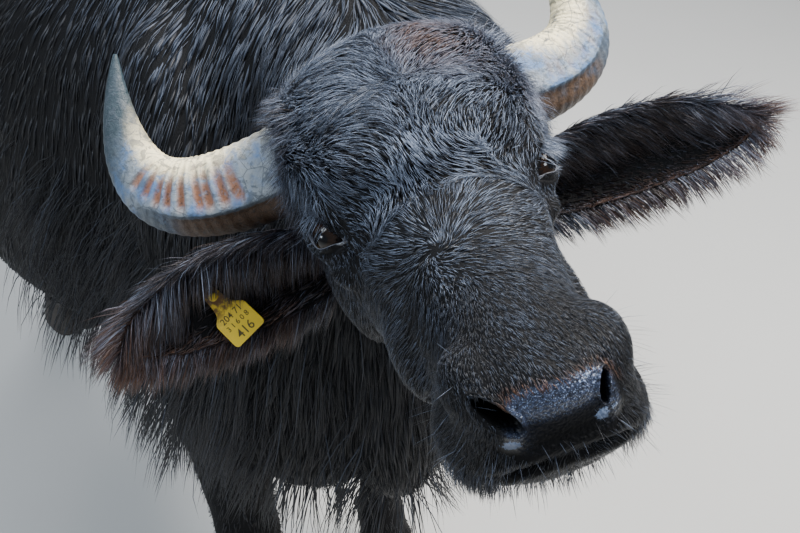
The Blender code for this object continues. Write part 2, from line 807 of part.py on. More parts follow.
def body_coat(whole, head):
    """The locks of the neck, chest, shoulders and barrel."""
    legs = [leg_planes(leg) for leg in STEP]
    face = head_planes(head)

    def on_neck(point, normal):
        return not within(point, [NECK_CUT]) and not within(point + HEAD_CLEARANCE, face)

    def on_body(point, normal):
        if point.z < COAT_LOWEST or point.y > COAT_LAST or normal.z < COAT_UNDER:
            return False
        if not within(point, [NECK_CUT]):
            return False
        clear = point + LEG_CLEARANCE
        return not any(within(point, planes) or within(clear, planes) for planes in legs)

    def lie_at(point):
        # back and down along the sides, and down over the chest
        forward = min(max(0.0, (-0.20 - point.y) / 0.25), 1.0)
        return Vector((0.25 * forward * point.x, 0.9 - 0.5 * forward, -0.55 - 0.3 * forward))

    surface = surface_of(whole)
    body = coat(whole, surface, BODY_COAT, on_body, lie_at)
    return body + coat(whole, surface, NECK_COAT, on_neck, lie_at)


def make_torso(whole, locks):
    piece = parted(whole, [NECK_CUT], TRIANGLES["torso"], locks)
    cuts = [block(leg_planes(leg), BODY_GAP / 2) for leg in STEP]
    for cut in cuts:
        boolean(piece, [cut], "DIFFERENCE")
    return finish_piece(piece, "torso", "hide")


def head_planes(head):
    """The planes that part the head from the neck."""
    turn = head.to_3x3()
    return [(head @ point, turn @ normal) for point, normal in (THROAT_CUT, JAW_CUT)]


def make_neck(whole, head, locks):
    piece = parted(whole, [flipped(NECK_CUT)], TRIANGLES["neck"], locks)
    boolean(piece, [block(head_planes(head), BODY_GAP / 2)], "DIFFERENCE")
    return finish_piece(piece, "neck", "hide")


def eye_at(side):
    return Vector((side * EYE_CENTRE.x, EYE_CENTRE.y, EYE_CENTRE.z))


def ball(centre, radius, segments):
    mesh = bmesh.new()
    bmesh.ops.create_uvsphere(mesh, u_segments=segments, v_segments=segments // 2, radius=radius)
    bmesh.ops.translate(mesh, vec=centre, verts=mesh.verts)
    data = bpy.data.meshes.new("ball")
    mesh.to_mesh(data)
    mesh.free()
    return new_object("ball", data)


def eyelid(side):
    """A padded rim round the eye, in the head's own axes: an oval ring, longer to the nose."""
    gaze = (Vector(GAZE) * Vector((side, 1, 1))).normalized()
    along = gaze.cross(Vector((0, 0, 1))).normalized()
    rise = along.cross(gaze).normalized()
    centre = eye_at(side) + gaze * (EYE_RADIUS * 0.62)
    around, across = EYELID_STEPS
    rings = []
    for k in range(around):
        angle = 2 * pi * k / around
        out = along * cos(angle) * EYELID[0] + rise * sin(angle) * EYELID[1]
        thick = EYELID_THICK[0 if sin(angle) > 0 else 1]
        outward = out.normalized()
        turns = [2 * pi * j / across for j in range(across)]
        rings.append([centre + out + (outward * cos(b) + gaze * sin(b)) * thick for b in turns])
    return ring_mesh(rings)


def ring_mesh(rings):
    """A closed mesh object through rings that run round to the first again."""
    mesh = bmesh.new()
    loops = [[mesh.verts.new(point) for point in ring] for ring in rings]
    for near, far in zip(loops, loops[1:] + loops[:1]):
        for k in range(len(near)):
            n = (k + 1) % len(near)
            mesh.faces.new((near[k], near[n], far[n], far[k]))
    bmesh.ops.recalc_face_normals(mesh, faces=mesh.faces)
    data = bpy.data.meshes.new("ring")
    mesh.to_mesh(data)
    mesh.free()
    return new_object("ring", data)


def mouth_cutter():
    """A thin slot that follows the lips from one corner of the mouth round to the other."""
    path = [(-x, y, z) for x, y, z in reversed(MOUTH[1:])] + MOUTH
    deep, wide, high = MOUTH_SLOT
    rings = []
    points = [Vector(p) for p in smooth_rows(path, 2)]
    for k, point in enumerate(points):
        along = points[min(k + 1, len(points) - 1)] - points[max(k - 1, 0)]
        out = along.cross(Vector((0, 0, 1))).normalized()
        rise = Vector((0, 0, high))
        rings.append([point - out * deep, point + out * wide - rise, point + out * wide + rise])
    return loft(rings)


def nostril(side):
    """A comma-shaped hole that runs back into the muzzle."""
    centres = [Vector((side * x, y, z)) for (x, y, z), half_width, half_height in NOSTRIL]
    widest = NOSTRIL[0][1]
    sections = []
    for centre, half_width, half_height in NOSTRIL:
        outline = section(12, half_width, half_height, half_height)
        sections.append([(a, b - NOSTRIL_ARCH * (a / widest) ** 2) for a, b in outline])
    tilt = Vector((side * 0.35, 0, 1)).normalized()
    return loft(tube_rings(centres, sections, tilt))


def head_coat(plain, whole, head):
    """The locks of the crown, which fall over the forehead, and of the chin."""
    surface = surface_of(whole)
    inward = head.inverted()
    turn = head.to_3x3()

    def on_crown(point, normal):
        at = inward @ point
        half_width, front, back, lowest = CROWN_AREA
        return at.z > lowest and front < at.y < back and abs(at.x) < half_width

    def fall(point):
        at = inward @ point
        if at.y > CROWN_PARTING:
            return turn @ Vector((at.x * 3, 0.6, 0.1))
        return turn @ Vector((at.x * 4, -1.0, -0.3))

    def on_chin(point, normal):
        at = inward @ point
        front, back, highest = CHIN_AREA
        return at.z < highest and front < at.y < back

    crown = coat(plain, surface, CROWN_COAT, on_crown, fall)
    chin = coat(plain, surface, CHIN_COAT, on_chin, lambda point: turn @ Vector((0, 0.8, -0.5)))
    return crown + chin


def make_head(whole, head):
    """The finished head, and a plain one to cut what grows beside its locks."""
    planes = head_planes(head)
    plain = parted(whole, planes, TRIANGLES["head"])
    piece = parted(whole, planes, TRIANGLES["head"], head_coat(plain, whole, head))
    lids = [moved(eyelid(side), head) for side in (1, -1)]
    boolean(piece, lids, "UNION", "MANIFOLD")
    cutters = [moved(ball(eye_at(side), EYE_RADIUS + BODY_GAP, 14), head) for side in (1, -1)]
    cutters += [moved(nostril(side), head) for side in (1, -1)]
    cutters.append(moved(mouth_cutter(), head))
    for cutter in cutters:
        boolean(piece, [cutter], "DIFFERENCE", "MANIFOLD")
    return piece, plain


def make_eyes(head):
    for name, side in SIDES.items():
        piece = moved(ball(eye_at(side), EYE_RADIUS, 14), head)
        finish_piece(piece, f"eye_{name}", "eye")


def bezier(points, share):
    a, b, c, d = points
    rest = 1 - share
    return rest**3 * a + 3 * rest**2 * share * b + 3 * rest * share**2 * c + share**3 * d


def horn(side, line):
    """A crescent, flattened from front to back and grooved across its lower part."""
    points = [Vector((side * x, y, z)) for x, y, z in line]
    shares = np.linspace(0, 1, HORN_RINGS + 1)
    centres = [bezier(points, share) for share in shares]
    sections = []
    for k, share in enumerate(shares):
        groove = HORN_GROOVE if k % 2 and HORN_GROOVED[0] < share < HORN_GROOVED[1] else 0
        taper = (1 - share**2.2) ** 0.9
        high = HORN_BASE[1] * taper + HORN_TIP - groove
        deep = HORN_BASE[0] * taper + HORN_TIP - groove
        sections.append(section(12, deep, high, high, 2.2))
    return loft(tube_rings(centres, sections, Vector((0, -0.35, 1))))


def make_horns(head, plain_head, shaggy_pieces):
    """The horns stop at the skull, and the locks beside them stop at the horns."""
    for name, side in SIDES.items():
        piece = moved(horn(side, HORN_LINE[name]), head)
        boolean(piece, [swollen(plain_head, BODY_GAP)], "DIFFERENCE")
        for shaggy in shaggy_pieces:
            boolean(shaggy, [swollen(piece, BODY_GAP)], "DIFFERENCE", "MANIFOLD")
        finish_piece(piece, f"horn_{name}", "horn")


def ear_frame(name):
    """The ear's root, and its directions to the tip, to the upper rim and to its back."""
    side = SIDES[name]
    root = Vector((side * EAR_ROOT.x, EAR_ROOT.y, EAR_ROOT.z))
    along = EAR_TIP[name] - root
    back = Vector((0.10 * side, 1, -0.12))
    rise = along.cross(back).normalized() * side
    return root, along, rise, rise.cross(along).normalized() * side


def ear_point(name, share, across, lift):
    """A point of the ear in the head's own axes.

    share runs 0 at the root to 1 at the tip, across -1 at the lower rim to 1 at the upper,
    and lift is the depth behind the inner face.
    """
    root, along, rise, back = ear_frame(name)
    widths = np.array(EAR_WIDTHS)
    half = np.interp(share, widths[:, 0], widths[:, 1])
    cup = EAR_CUP * (1 - share * 0.8)
    depth = cup * (1 - across**2) - cup * 0.5 + lift
    return root + along * share + rise * (across * half + EAR_BOW * sin(pi * share)) + back * depth


def ear(name):
    """A cupped leaf, open to the front."""
    rings = []
    for share in EAR_STATIONS:
        thick = EAR_THICK * (1 - 0.6 * share)
        inner = [ear_point(name, share, a, 0) for a in np.linspace(-1, 1, 7)]
        outer = [ear_point(name, share, a, thick) for a in np.linspace(0.96, -0.96, 7)]
        rings.append(inner + outer)
    return loft(rings)


def ear_locks(name):
    """The long hair that stands out from the rims and the tip of an ear."""
    draw = np.random.default_rng(11 + SIDES[name])
    root, along, rise, back = ear_frame(name)
    along = along.normalized()
    half_width, thick = EAR_LOCK_SIZE
    paths = []
    for rim, way in (("upper", 1), ("lower", -1)):
        for share in np.linspace(*EAR_LOCK_SPAN, EAR_LOCKS):
            length = draw.uniform(*EAR_LOCK_LENGTHS[rim]) * (0.8 + 0.4 * share)
            start = ear_point(name, share, way * EAR_LOCK_ROOT, EAR_THICK * 0.4)
            out = rise * way * (0.95 - 0.5 * share) + along * (0.55 + 0.7 * share)
            out += along * draw.uniform(-0.25, 0.25) + back * draw.uniform(-0.05, 0.30)
            if name == TAGGED and rim == "lower" and abs(share - TAG_END_AT[0]) < BEHIND_TAG:
                out += back * 0.4
            out.normalize()
            droop = Vector((0, 0, -EAR_LOCK_DROOP * length))
            size = draw.uniform(*LOCK_VARIES)
            rim_at = ear_point(name, share, way, EAR_THICK * 0.3)
            span = (rim_at - start).length + length
            centres = [start + out * span * t + droop * t**2 for t, width, height in LOCK_STATIONS]
            paths.append((centres, [back] * len(centres), half_width * size, thick * size))
    return paths


def make_ears(head, plain_head):
    for name in SIDES:
        piece = ear(name)
        grown(piece, ear_locks(name))
        moved(piece, head)
        horn_over_it = bpy.data.objects[f"horn_{name}"]
        for other in (plain_head, horn_over_it):
            boolean(piece, [swollen(other, BODY_GAP)], "DIFFERENCE", "MANIFOLD")
        if name == TAGGED:
            boolean(piece, [moved(tag_pin(TAG_PIN_RADIUS + BODY_GAP), head)], "DIFFERENCE")
        finish_piece(piece, f"ear_{name}", "hide")


def tag_frame():
    """Where the tag's pin goes through the ear: a matrix whose Z runs to the front of the
    ear square to the tag's plate, and whose -Y runs down the plate."""
    pin = ear_point(TAGGED, *TAG_PIN_AT, 0)
    end = ear_point(TAGGED, *TAG_END_AT, 0)
    down = (end - pin).normalized()
    front = -ear_frame(TAGGED)[3]
    front = (front - down * front.dot(down)).normalized()
    side = (-down).cross(front)
    turn = Matrix((side, -down, front)).transposed().to_4x4()
    return Matrix.Translation(pin) @ turn


def disc(radius, low, high, sides=16):
    """A round plate or pin along Z."""
    rings = []
    for z in (low, high):
        turns = [2 * pi * k / sides for k in range(sides)]
        rings.append([(radius * cos(a), radius * sin(a), z) for a in turns])
    return loft(rings)


def tag_pin(radius):
    low, high = -TAG_STANDOFF - EAR_THICK * 2, TAG_STANDOFF + TAG_THICK * 2
    return moved(disc(radius, low, high), tag_frame())


def tag_plate():
    """The flag: a narrow neck round the pin that widens to a blunt plate."""
    outline = TAG_OUTLINE + [(-x, y) for x, y in reversed(TAG_OUTLINE)]
    low, high = TAG_STANDOFF, TAG_STANDOFF + TAG_THICK
    plate = loft([[(x, y, z) for x, y in outline] for z in (low, high)])
    boolean(plate, [disc(TAG_PIN_RADIUS + BODY_GAP, low - 0.01, high + 0.01)], "DIFFERENCE")
    return moved(plate, tag_frame())


def make_tag(head):
    finish_piece(moved(tag_plate(), head), "ear_tag_flag", "tag_yellow")
    pin = tag_pin(TAG_PIN_RADIUS)
    low = -TAG_STANDOFF - EAR_THICK * 2
    button = moved(disc(TAG_BUTTON_RADIUS, low - TAG_THICK, low + TAG_THICK), tag_frame())
    boolean(pin, [button], "UNION")
    finish_piece(moved(pin, head), "ear_tag_button", "tag_yellow")


def tail_locks():
    """The switch: long hair that hangs from the end of the tail."""
    draw = np.random.default_rng(17)
    heights = [z for y, z, radius in TAIL]
    half_width, thick = TAIL_LOCK_SIZE
    paths = []
    for k in range(TAIL_LOCKS):
        angle = k * GOLDEN_TURN
        out = Vector((cos(angle), sin(angle), 0))
        top = TAIL_SWITCH_FROM + (TAIL_SWITCH_TO - TAIL_SWITCH_FROM) * k / TAIL_LOCKS
        y = np.interp(-top, [-z for z in heights], [row[0] for row in TAIL])
        bottom = TAIL_TIP + draw.uniform(0.0, TAIL_LOCK_UNEVEN)
        centres = []
        for share, width, height in LOCK_STATIONS:
            near, more = TAIL_LOCK_SPREAD
            spread = near + more * sin(pi * min(share * 1.1, 0.75)) * draw.uniform(0.7, 1.0)
            centres.append(Vector((0, y, top + (bottom - top) * share)) + out * spread)
        paths.append((centres, [out] * len(centres), half_width, thick))
    return paths


def make_tail(torso):
    rows = smooth_rows(TAIL, 3)
    centres = [(0, y, z) for y, z, radius in rows]
    tail = loft(tube_rings(centres, [section(10, r, r, r) for r in rows[:, 2]], Vector((1, 0, 0))))
    grown(tail, tail_locks())
    boolean(tail, [swollen(torso, 0.0005)], "DIFFERENCE")
    return finish_piece(tail, "tail", "hide")


def set_on_origin():
    """Moves the whole so that the middle of its outline is over the origin, soles at Z 0."""
    pieces = [obj for obj in bpy.data.objects if obj.type == "MESH"]
    corners = np.array([vertex.co for piece in pieces for vertex in piece.data.vertices])
    middle = (corners.min(axis=0) + corners.max(axis=0)) / 2
    for piece in pieces:
        moved(piece, Matrix.Translation((-middle[0], -middle[1], 0)))


def make_everything():
    clear_scene()
    head = head_matrix()
    whole = whole_body(head)
    locks = body_coat(whole, head)
    torso = make_torso(whole, locks)
    neck = make_neck(whole, head, locks)
    shaggy_head, plain_head = make_head(whole, head)
    make_eyes(head)
    make_horns(head, plain_head, [shaggy_head, neck])
    finish_piece(shaggy_head, "head", "hide")
    make_ears(head, plain_head)
    make_tag(head)
    make_legs(whole)
    make_feet()
    make_tail(torso)
    drop(whole, plain_head)
    set_on_origin()


make_everything()
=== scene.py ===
from contextlib import contextmanager
from itertools import product
from math import cos, pi, radians, sin

import bmesh
import bpy
import numpy as np
from mathutils import Matrix, Vector
from mathutils.bvhtree import BVHTree
from mathutils.kdtree import KDTree


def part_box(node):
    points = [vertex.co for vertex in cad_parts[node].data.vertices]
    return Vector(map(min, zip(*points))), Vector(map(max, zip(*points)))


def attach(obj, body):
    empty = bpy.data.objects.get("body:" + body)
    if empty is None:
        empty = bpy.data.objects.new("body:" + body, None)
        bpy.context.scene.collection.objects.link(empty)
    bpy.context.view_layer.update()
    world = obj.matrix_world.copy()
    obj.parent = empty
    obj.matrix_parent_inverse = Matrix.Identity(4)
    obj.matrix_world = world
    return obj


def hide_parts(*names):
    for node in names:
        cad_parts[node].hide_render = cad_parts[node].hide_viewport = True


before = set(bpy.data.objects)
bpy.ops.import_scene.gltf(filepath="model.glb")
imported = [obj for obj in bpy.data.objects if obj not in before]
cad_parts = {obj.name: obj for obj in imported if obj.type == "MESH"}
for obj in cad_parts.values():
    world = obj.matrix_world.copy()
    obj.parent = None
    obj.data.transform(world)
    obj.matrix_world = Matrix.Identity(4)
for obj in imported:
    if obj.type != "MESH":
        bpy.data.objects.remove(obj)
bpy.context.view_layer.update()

sides = {"left": 1, "right": -1}

# the same forms as the solids, in metres
pose = {
    "eyesAt": (-0.065, -0.555, 1.235),  # midway between the eyes
    "yaw": 15.4,  # degrees towards her right
    "lift": 8.0,
    "roll": 11.4,  # the crown leans to her right
    "steps": {"front_right": -0.15, "front_left": 0.03, "hind_right": 0.09, "hind_left": -0.07},
    "coronet": 0.072,  # height of the tops of the claws
}

eyeBall = {"centre": (0.1045, -0.004, -0.001), "radius": 0.021, "out": 0.006}

body = {
    # y, top, bottom, half width, height of the widest place, fullness
    "torso": [
        (-0.385, 1.030, 0.860, 0.070, 0.50, 2.0),
        (-0.350, 1.110, 0.760, 0.155, 0.50, 2.0),
        (-0.270, 1.200, 0.680, 0.220, 0.48, 2.1),
        (-0.140, 1.290, 0.620, 0.255, 0.44, 2.2),
        (0.000, 1.340, 0.585, 0.270, 0.40, 2.1),
        (0.150, 1.330, 0.545, 0.315, 0.35, 2.3),
        (0.320, 1.300, 0.500, 0.365, 0.35, 2.5),
        (0.520, 1.275, 0.475, 0.402, 0.37, 2.5),
        (0.700, 1.275, 0.500, 0.385, 0.41, 2.4),
        (0.840, 1.290, 0.580, 0.320, 0.52, 2.1),
        (0.960, 1.290, 0.645, 0.280, 0.56, 2.0),
        (1.060, 1.260, 0.730, 0.245, 0.55, 2.0),
        (1.140, 1.210, 0.820, 0.185, 0.52, 2.0),
        (1.185, 1.145, 0.910, 0.095, 0.50, 2.0),
    ],
    # share of the way to the head, half width, height above and below the spine
    "neck": [
        (0.00, 0.185, 0.255, 0.330),
        (0.25, 0.190, 0.245, 0.315),
        (0.50, 0.187, 0.215, 0.270),
        (0.72, 0.176, 0.175, 0.215),
        (0.88, 0.162, 0.140, 0.170),
        (1.00, 0.125, 0.100, 0.130),
    ],
    "neckStart": (0.0, 0.06, 1.055),
    "neckEnd": (0.0, 0.105, -0.045),  # in the head's own axes
    "neckArch": 0.030,
    "neckBow": 0.065,
    # centre, radii, turns
    "masses": [
        ((0.185, -0.130, 0.990), (0.080, 0.150, 0.290), (-24, 0, 0)),
        ((0.205, -0.050, 0.790), (0.080, 0.160, 0.160), (15, 0, 0)),
        ((0.070, -0.235, 0.790), (0.155, 0.140, 0.220), (-10, 0, 0)),
        ((0.0, -0.310, 0.860), (0.110, 0.110, 0.270), (-16, 0, 0)),
        ((0.0, 0.040, 1.280), (0.060, 0.220, 0.078), (-3, 0, 0)),
        ((0.190, 0.890, 1.150), (0.085, 0.150, 0.095), (0, 25, 0)),
        ((0.175, 1.030, 0.940), (0.110, 0.175, 0.270), (-8, 0, 0)),
        ((0.195, 0.900, 0.740), (0.075, 0.120, 0.140), (20, 0, 0)),
        ((0.085, 1.145, 1.110), (0.055, 0.065, 0.075), (0, 0, 0)),
        ((0.0, 0.920, 0.620), (0.080, 0.120, 0.065), (10, 0, 0)),
    ],
    "brisket": 3,  # the mass that the head's skin also meets
    "grain": 0.009,
    "rounds": 9,
}

legs = {
    # z, x, y, half width, half depth
    "front": [
        (0.820, 0.178, -0.030, 0.094, 0.130),
        (0.720, 0.172, -0.030, 0.088, 0.112),
        (0.620, 0.167, -0.036, 0.077, 0.089),
        (0.520, 0.164, -0.042, 0.064, 0.069),
        (0.430, 0.163, -0.050, 0.055, 0.058),
        (0.380, 0.162, -0.055, 0.057, 0.060),
        (0.330, 0.161, -0.048, 0.048, 0.052),
        (0.250, 0.160, -0.040, 0.040, 0.044),
        (0.175, 0.160, -0.040, 0.041, 0.047),
        (0.135, 0.160, -0.044, 0.049, 0.054),
        (0.100, 0.160, -0.058, 0.048, 0.052),
        (0.068, 0.160, -0.074, 0.056, 0.061),
    ],
    "hind": [
        (0.880, 0.175, 1.000, 0.095, 0.190),
        (0.780, 0.175, 0.975, 0.088, 0.160),
        (0.680, 0.172, 0.985, 0.077, 0.125),
        (0.590, 0.167, 1.020, 0.062, 0.094),
        (0.520, 0.162, 1.060, 0.050, 0.074),
        (0.460, 0.159, 1.080, 0.047, 0.067),
        (0.390, 0.157, 1.070, 0.043, 0.054),
        (0.300, 0.156, 1.050, 0.040, 0.047),
        (0.200, 0.155, 1.035, 0.040, 0.046),
        (0.145, 0.155, 1.025, 0.048, 0.053),
        (0.105, 0.155, 1.005, 0.047, 0.051),
        (0.068, 0.155, 0.990, 0.054, 0.060),
    ],
    # two small claws behind each foot
    "dewclaw": {"apart": 0.024, "at": (0.075, 0.045), "radii": (0.014, 0.018, 0.020)},
}

tail = {
    # y, z, radius
    "line": [
        (1.080, 1.195, 0.046),
        (1.145, 1.192, 0.040),
        (1.200, 1.145, 0.032),
        (1.230, 1.050, 0.026),
        (1.240, 0.900, 0.022),
        (1.236, 0.740, 0.018),
        (1.228, 0.600, 0.015),
        (1.222, 0.500, 0.013),
    ],
}

headForm = {
    # y, top, bottom, half width, height of the widest place, fullness, flare
    "rows": [
        (0.200, 0.060, -0.125, 0.094, 0.55, 2.1, 0.00),
        (0.160, 0.100, -0.165, 0.120, 0.60, 2.2, 0.03),
        (0.105, 0.119, -0.190, 0.131, 0.62, 2.4, 0.05),
        (0.045, 0.112, -0.194, 0.128, 0.62, 2.5, 0.05),
        (-0.010, 0.090, -0.186, 0.115, 0.60, 2.5, 0.05),
        (-0.070, 0.063, -0.172, 0.099, 0.54, 2.4, 0.00),
        (-0.135, 0.043, -0.158, 0.087, 0.48, 2.3, -0.08),
        (-0.200, 0.032, -0.146, 0.079, 0.44, 2.3, -0.12),
        (-0.260, 0.026, -0.138, 0.078, 0.42, 2.4, -0.12),
        (-0.305, 0.017, -0.127, 0.077, 0.42, 2.5, -0.10),
        (-0.332, 0.000, -0.110, 0.066, 0.45, 2.5, -0.06),
        (-0.347, -0.026, -0.086, 0.040, 0.50, 2.3, 0.00),
    ],
    "masses": [
        ((0.0, 0.105, 0.072), (0.116, 0.092, 0.066), (12, 0, 0)),
        ((0.0, 0.015, 0.060), (0.098, 0.094, 0.053), (-16, 0, 0)),
        ((0.098, 0.010, 0.026), (0.026, 0.046, 0.024), (0, 0, 12)),
        ((0.103, -0.004, -0.038), (0.024, 0.044, 0.022), (0, 0, 10)),
        ((0.088, 0.070, -0.095), (0.038, 0.090, 0.085), (20, 8, 0)),
        ((0.070, -0.100, -0.078), (0.030, 0.095, 0.045), (8, 0, 6)),
        ((0.050, -0.290, -0.028), (0.033, 0.048, 0.038), (0, 0, -16)),
        ((0.054, -0.268, -0.088), (0.038, 0.062, 0.034), (0, 0, -10)),
        ((0.0, -0.318, -0.030), (0.056, 0.034, 0.040), (20, 0, 0)),
        ((0.0, -0.258, -0.124), (0.066, 0.056, 0.024), (0, 0, 0)),
    ],
    "grain": 0.0026,
    "rounds": 84,
    "throat": ((0, 0.182, -0.06), (0, 1.0, 0.10)),  # the head lies in front of it
    "jaw": ((0, 0.150, -0.206), (0, 0, -1.0)),
    "overlap": 0.014,
}


def smoothRows(rows, steps):
    rows = np.array(rows, float)
    padded = np.vstack([2 * rows[0] - rows[1], rows, 2 * rows[-1] - rows[-2]])
    out = []
    for a, b, c, d in zip(padded, padded[1:], padded[2:], padded[3:]):
        for t in np.arange(steps) / steps:
            out.append(b + 0.5 * t * (c - a) + t * t * (a - 2.5 * b + 2 * c - 0.5 * d)
                       + t**3 * (-0.5 * a + 1.5 * b - 1.5 * c + 0.5 * d))
    out.append(rows[-1])
    return np.array(out)


def signedPower(value, exponent):
    return abs(value) ** exponent * (1 if value >= 0 else -1)


def section(count, halfWidth, up, down, fullness=2.0, flare=0.0):
    points = []
    for k in range(count):
        angle = 2 * pi * k / count
        high = signedPower(sin(angle), 2 / fullness)
        wide = halfWidth * signedPower(cos(angle), 2 / fullness) * (1 + flare * high)
        points.append((wide, high * (up if high > 0 else down)))
    return points


def loft(rings):
    # points and faces of a closed form through rings with equal numbers of points
    count = len(rings[0])
    faces = []
    for k in range(len(rings) - 1):
        for j in range(count):
            n = (j + 1) % count
            faces.append((k * count + j, k * count + n, (k + 1) * count + n, (k + 1) * count + j))
    faces.append(tuple(range(count))[::-1])
    last = (len(rings) - 1) * count
    faces.append(tuple(range(last, last + count)))
    return np.array([tuple(p) for ring in rings for p in ring], float), faces


def tubeRings(centres, sections, upright=(0, 0, 1)):
    centres = [Vector(c) for c in centres]
    rings = []
    for k, (centre, outline) in enumerate(zip(centres, sections)):
        along = centres[min(k + 1, len(centres) - 1)] - centres[max(k - 1, 0)]
        side = along.cross(Vector(upright)).normalized()
        rise = side.cross(along).normalized()
        rings.append([centre + side * a + rise * b for a, b in outline])
    return rings


def ellipsoid(centre, radii, turns=(0, 0, 0)):
    rings = []
    for k in range(1, 16):
        polar = pi * k / 16
        rings.append([(sin(polar) * cos(a), sin(polar) * sin(a), cos(polar))
                      for a in (2 * pi * j / 28 for j in range(28))])
    points, faces = loft(rings)
    turn = Matrix.Translation(centre)
    for axis, degrees in zip("XYZ", turns):
        turn = turn @ Matrix.Rotation(radians(degrees), 4, axis)
    return moved((points, faces), turn @ Matrix.Diagonal((*radii, 1)))


def bothSides(masses):
    out = []
    for (x, y, z), radii, (tx, ty, tz) in masses:
        out.append(((x, y, z), radii, (tx, ty, tz)))
        if x:
            out.append(((-x, y, z), radii, (tx, -ty, -tz)))
    return out


def through(matrix, points):
    grid = np.array(matrix)
    return np.asarray(points) @ grid[:3, :3].T + grid[:3, 3]


def turned(matrix, directions):
    return np.asarray(directions) @ np.array(matrix)[:3, :3].T


def moved(shape, matrix):
    return through(matrix, shape[0]), shape[1]


def unit(vectors):
    return vectors / np.maximum(np.linalg.norm(vectors, axis=-1, keepdims=True), 1e-9)


def eyeCentre(side):
    x, y, z = eyeBall["centre"]
    return Vector((side * x, y, z))


def findHead():
    # the head's own axes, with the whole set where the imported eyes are
    turn = Matrix.Rotation(-radians(pose["yaw"]), 4, "Z")
    turn = turn @ Matrix.Rotation(-radians(pose["lift"]), 4, "X")
    turn = turn @ Matrix.Rotation(-radians(pose["roll"]), 4, "Y")
    planned = Matrix.Translation(pose["eyesAt"]) @ turn
    away = Vector()
    for name, side in sides.items():
        low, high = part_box("eye_" + name)
        away += ((low + high) / 2 - planned @ eyeCentre(side)) / 2
    return Matrix.Translation(away), Matrix.Translation(away) @ planned


place, head = findHead()
inHead = head.inverted()
print("head axes found, shift", [round(v, 4) for v in place.translation])


def newObject(name, mesh):
    obj = bpy.data.objects.new(name, mesh)
    bpy.context.scene.collection.objects.link(obj)
    return obj


def meshFrom(name, shapes):
    points, faces, start = [], [], 0
    for shapePoints, shapeFaces in shapes:
        points.append(shapePoints)
        faces += [tuple(int(v) + start for v in face) for face in shapeFaces]
        start += len(shapePoints)
    mesh = bpy.data.meshes.new(name)
    mesh.from_pydata(np.vstack(points).tolist(), [], faces)
    mesh.update()
    return mesh


@contextmanager
def editing(obj):
    mesh = bmesh.new()
    mesh.from_mesh(obj.data)
    yield mesh
    mesh.to_mesh(obj.data)
    mesh.free()


def relax(mesh, verts, times):
    for _ in range(times):
        bmesh.ops.smooth_vert(mesh, verts=verts, factor=0.5,
                              use_axis_x=True, use_axis_y=True, use_axis_z=True)


def settle(obj):
    graph = bpy.context.evaluated_depsgraph_get()
    mesh = bpy.data.meshes.new_from_object(obj.evaluated_get(graph))
    obj.modifiers.clear()
    old = obj.data
    obj.data = mesh
    bpy.data.meshes.remove(old)
    return obj


def fused(name, shapes, grain, rounds):
    obj = newObject(name, meshFrom(name, shapes))
    remesh = obj.modifiers.new("remesh", "REMESH")
    remesh.mode = "VOXEL"
    remesh.voxel_size = grain
    smooth = obj.modifiers.new("smooth", "SMOOTH")
    smooth.factor = 0.5
    smooth.iterations = rounds
    return keepLargest(settle(obj))


def keepLargest(obj):
    with editing(obj) as mesh:
        unseen = set(mesh.faces)
        bodies = []
        while unseen:
            front = [unseen.pop()]
            found = list(front)
            while front:
                for edge in front.pop().edges:
                    if len(edge.link_faces) != 2:
                        continue
                    for face in edge.link_faces:
                        if face in unseen:
                            unseen.remove(face)
                            found.append(face)
                            front.append(face)
            bodies.append(found)
        bodies.sort(key=len)
        for found in bodies[:-1]:
            bmesh.ops.delete(mesh, geom=found, context="FACES")
    return obj


def trim(obj, planes, shift):
    with editing(obj) as mesh:
        for point, normal in planes:
            normal = Vector(normal).normalized()
            everything = mesh.verts[:] + mesh.edges[:] + mesh.faces[:]
            bmesh.ops.bisect_plane(mesh, geom=everything, plane_co=Vector(point) + normal * shift,
                                   plane_no=normal, clear_outer=True)
            rim = [edge for edge in mesh.edges if edge.is_boundary]
            if rim:
                caps = bmesh.ops.holes_fill(mesh, edges=rim, sides=0)["faces"]
                bmesh.ops.triangulate(mesh, faces=caps)


def cutAway(obj, other):
    cut = obj.modifiers.new("cut", "BOOLEAN")
    cut.operation = "DIFFERENCE"
    cut.solver = "MANIFOLD"
    cut.object = other
    settle(obj)
    bpy.data.objects.remove(other)
    return keepLargest(obj)


def pointsOf(mesh):
    points = np.zeros(len(mesh.vertices) * 3)
    mesh.vertices.foreach_get("co", points)
    return points.reshape(-1, 3)


def normalsOf(mesh):
    normals = np.zeros(len(mesh.vertices) * 3, np.float32)
    mesh.vertex_normals.foreach_get("vector", normals)
    return normals.reshape(-1, 3).astype(float)


def setPoints(mesh, points):
    mesh.vertices.foreach_set("co", np.asarray(points, np.float32).ravel())
    mesh.update()


def smoothStep(low, high, value):
    t = np.clip((value - low) / (high - low), 0, 1)
    return t * t * (3 - 2 * t)


def stepColumn(low, high, value):
    return smoothStep(low, high, value)[:, None]


def bell(*parts):
    # 1 where each distance is nil, falling off over its width
    return np.exp(-sum((away / wide) ** 2 for away, wide in parts))


def blend(first, second, share):
    return first * (1 - share) + second * share


def stack(x, y, z):
    x, y, z = np.broadcast_arrays(x, y, z)
    return np.stack([x, y, z], axis=1).astype(float)


def ripple(points, size, seed, parts=5):
    # a soft wandering value from about -1 to 1 that changes over that size
    draw = np.random.default_rng(seed)
    total = np.zeros(len(points))
    for _ in range(parts):
        way = unit(draw.normal(size=3)) * draw.uniform(0.7, 1.6) * 2 * pi / size
        total += np.sin(points @ way + draw.uniform(0, 2 * pi))
    return total / parts**0.5


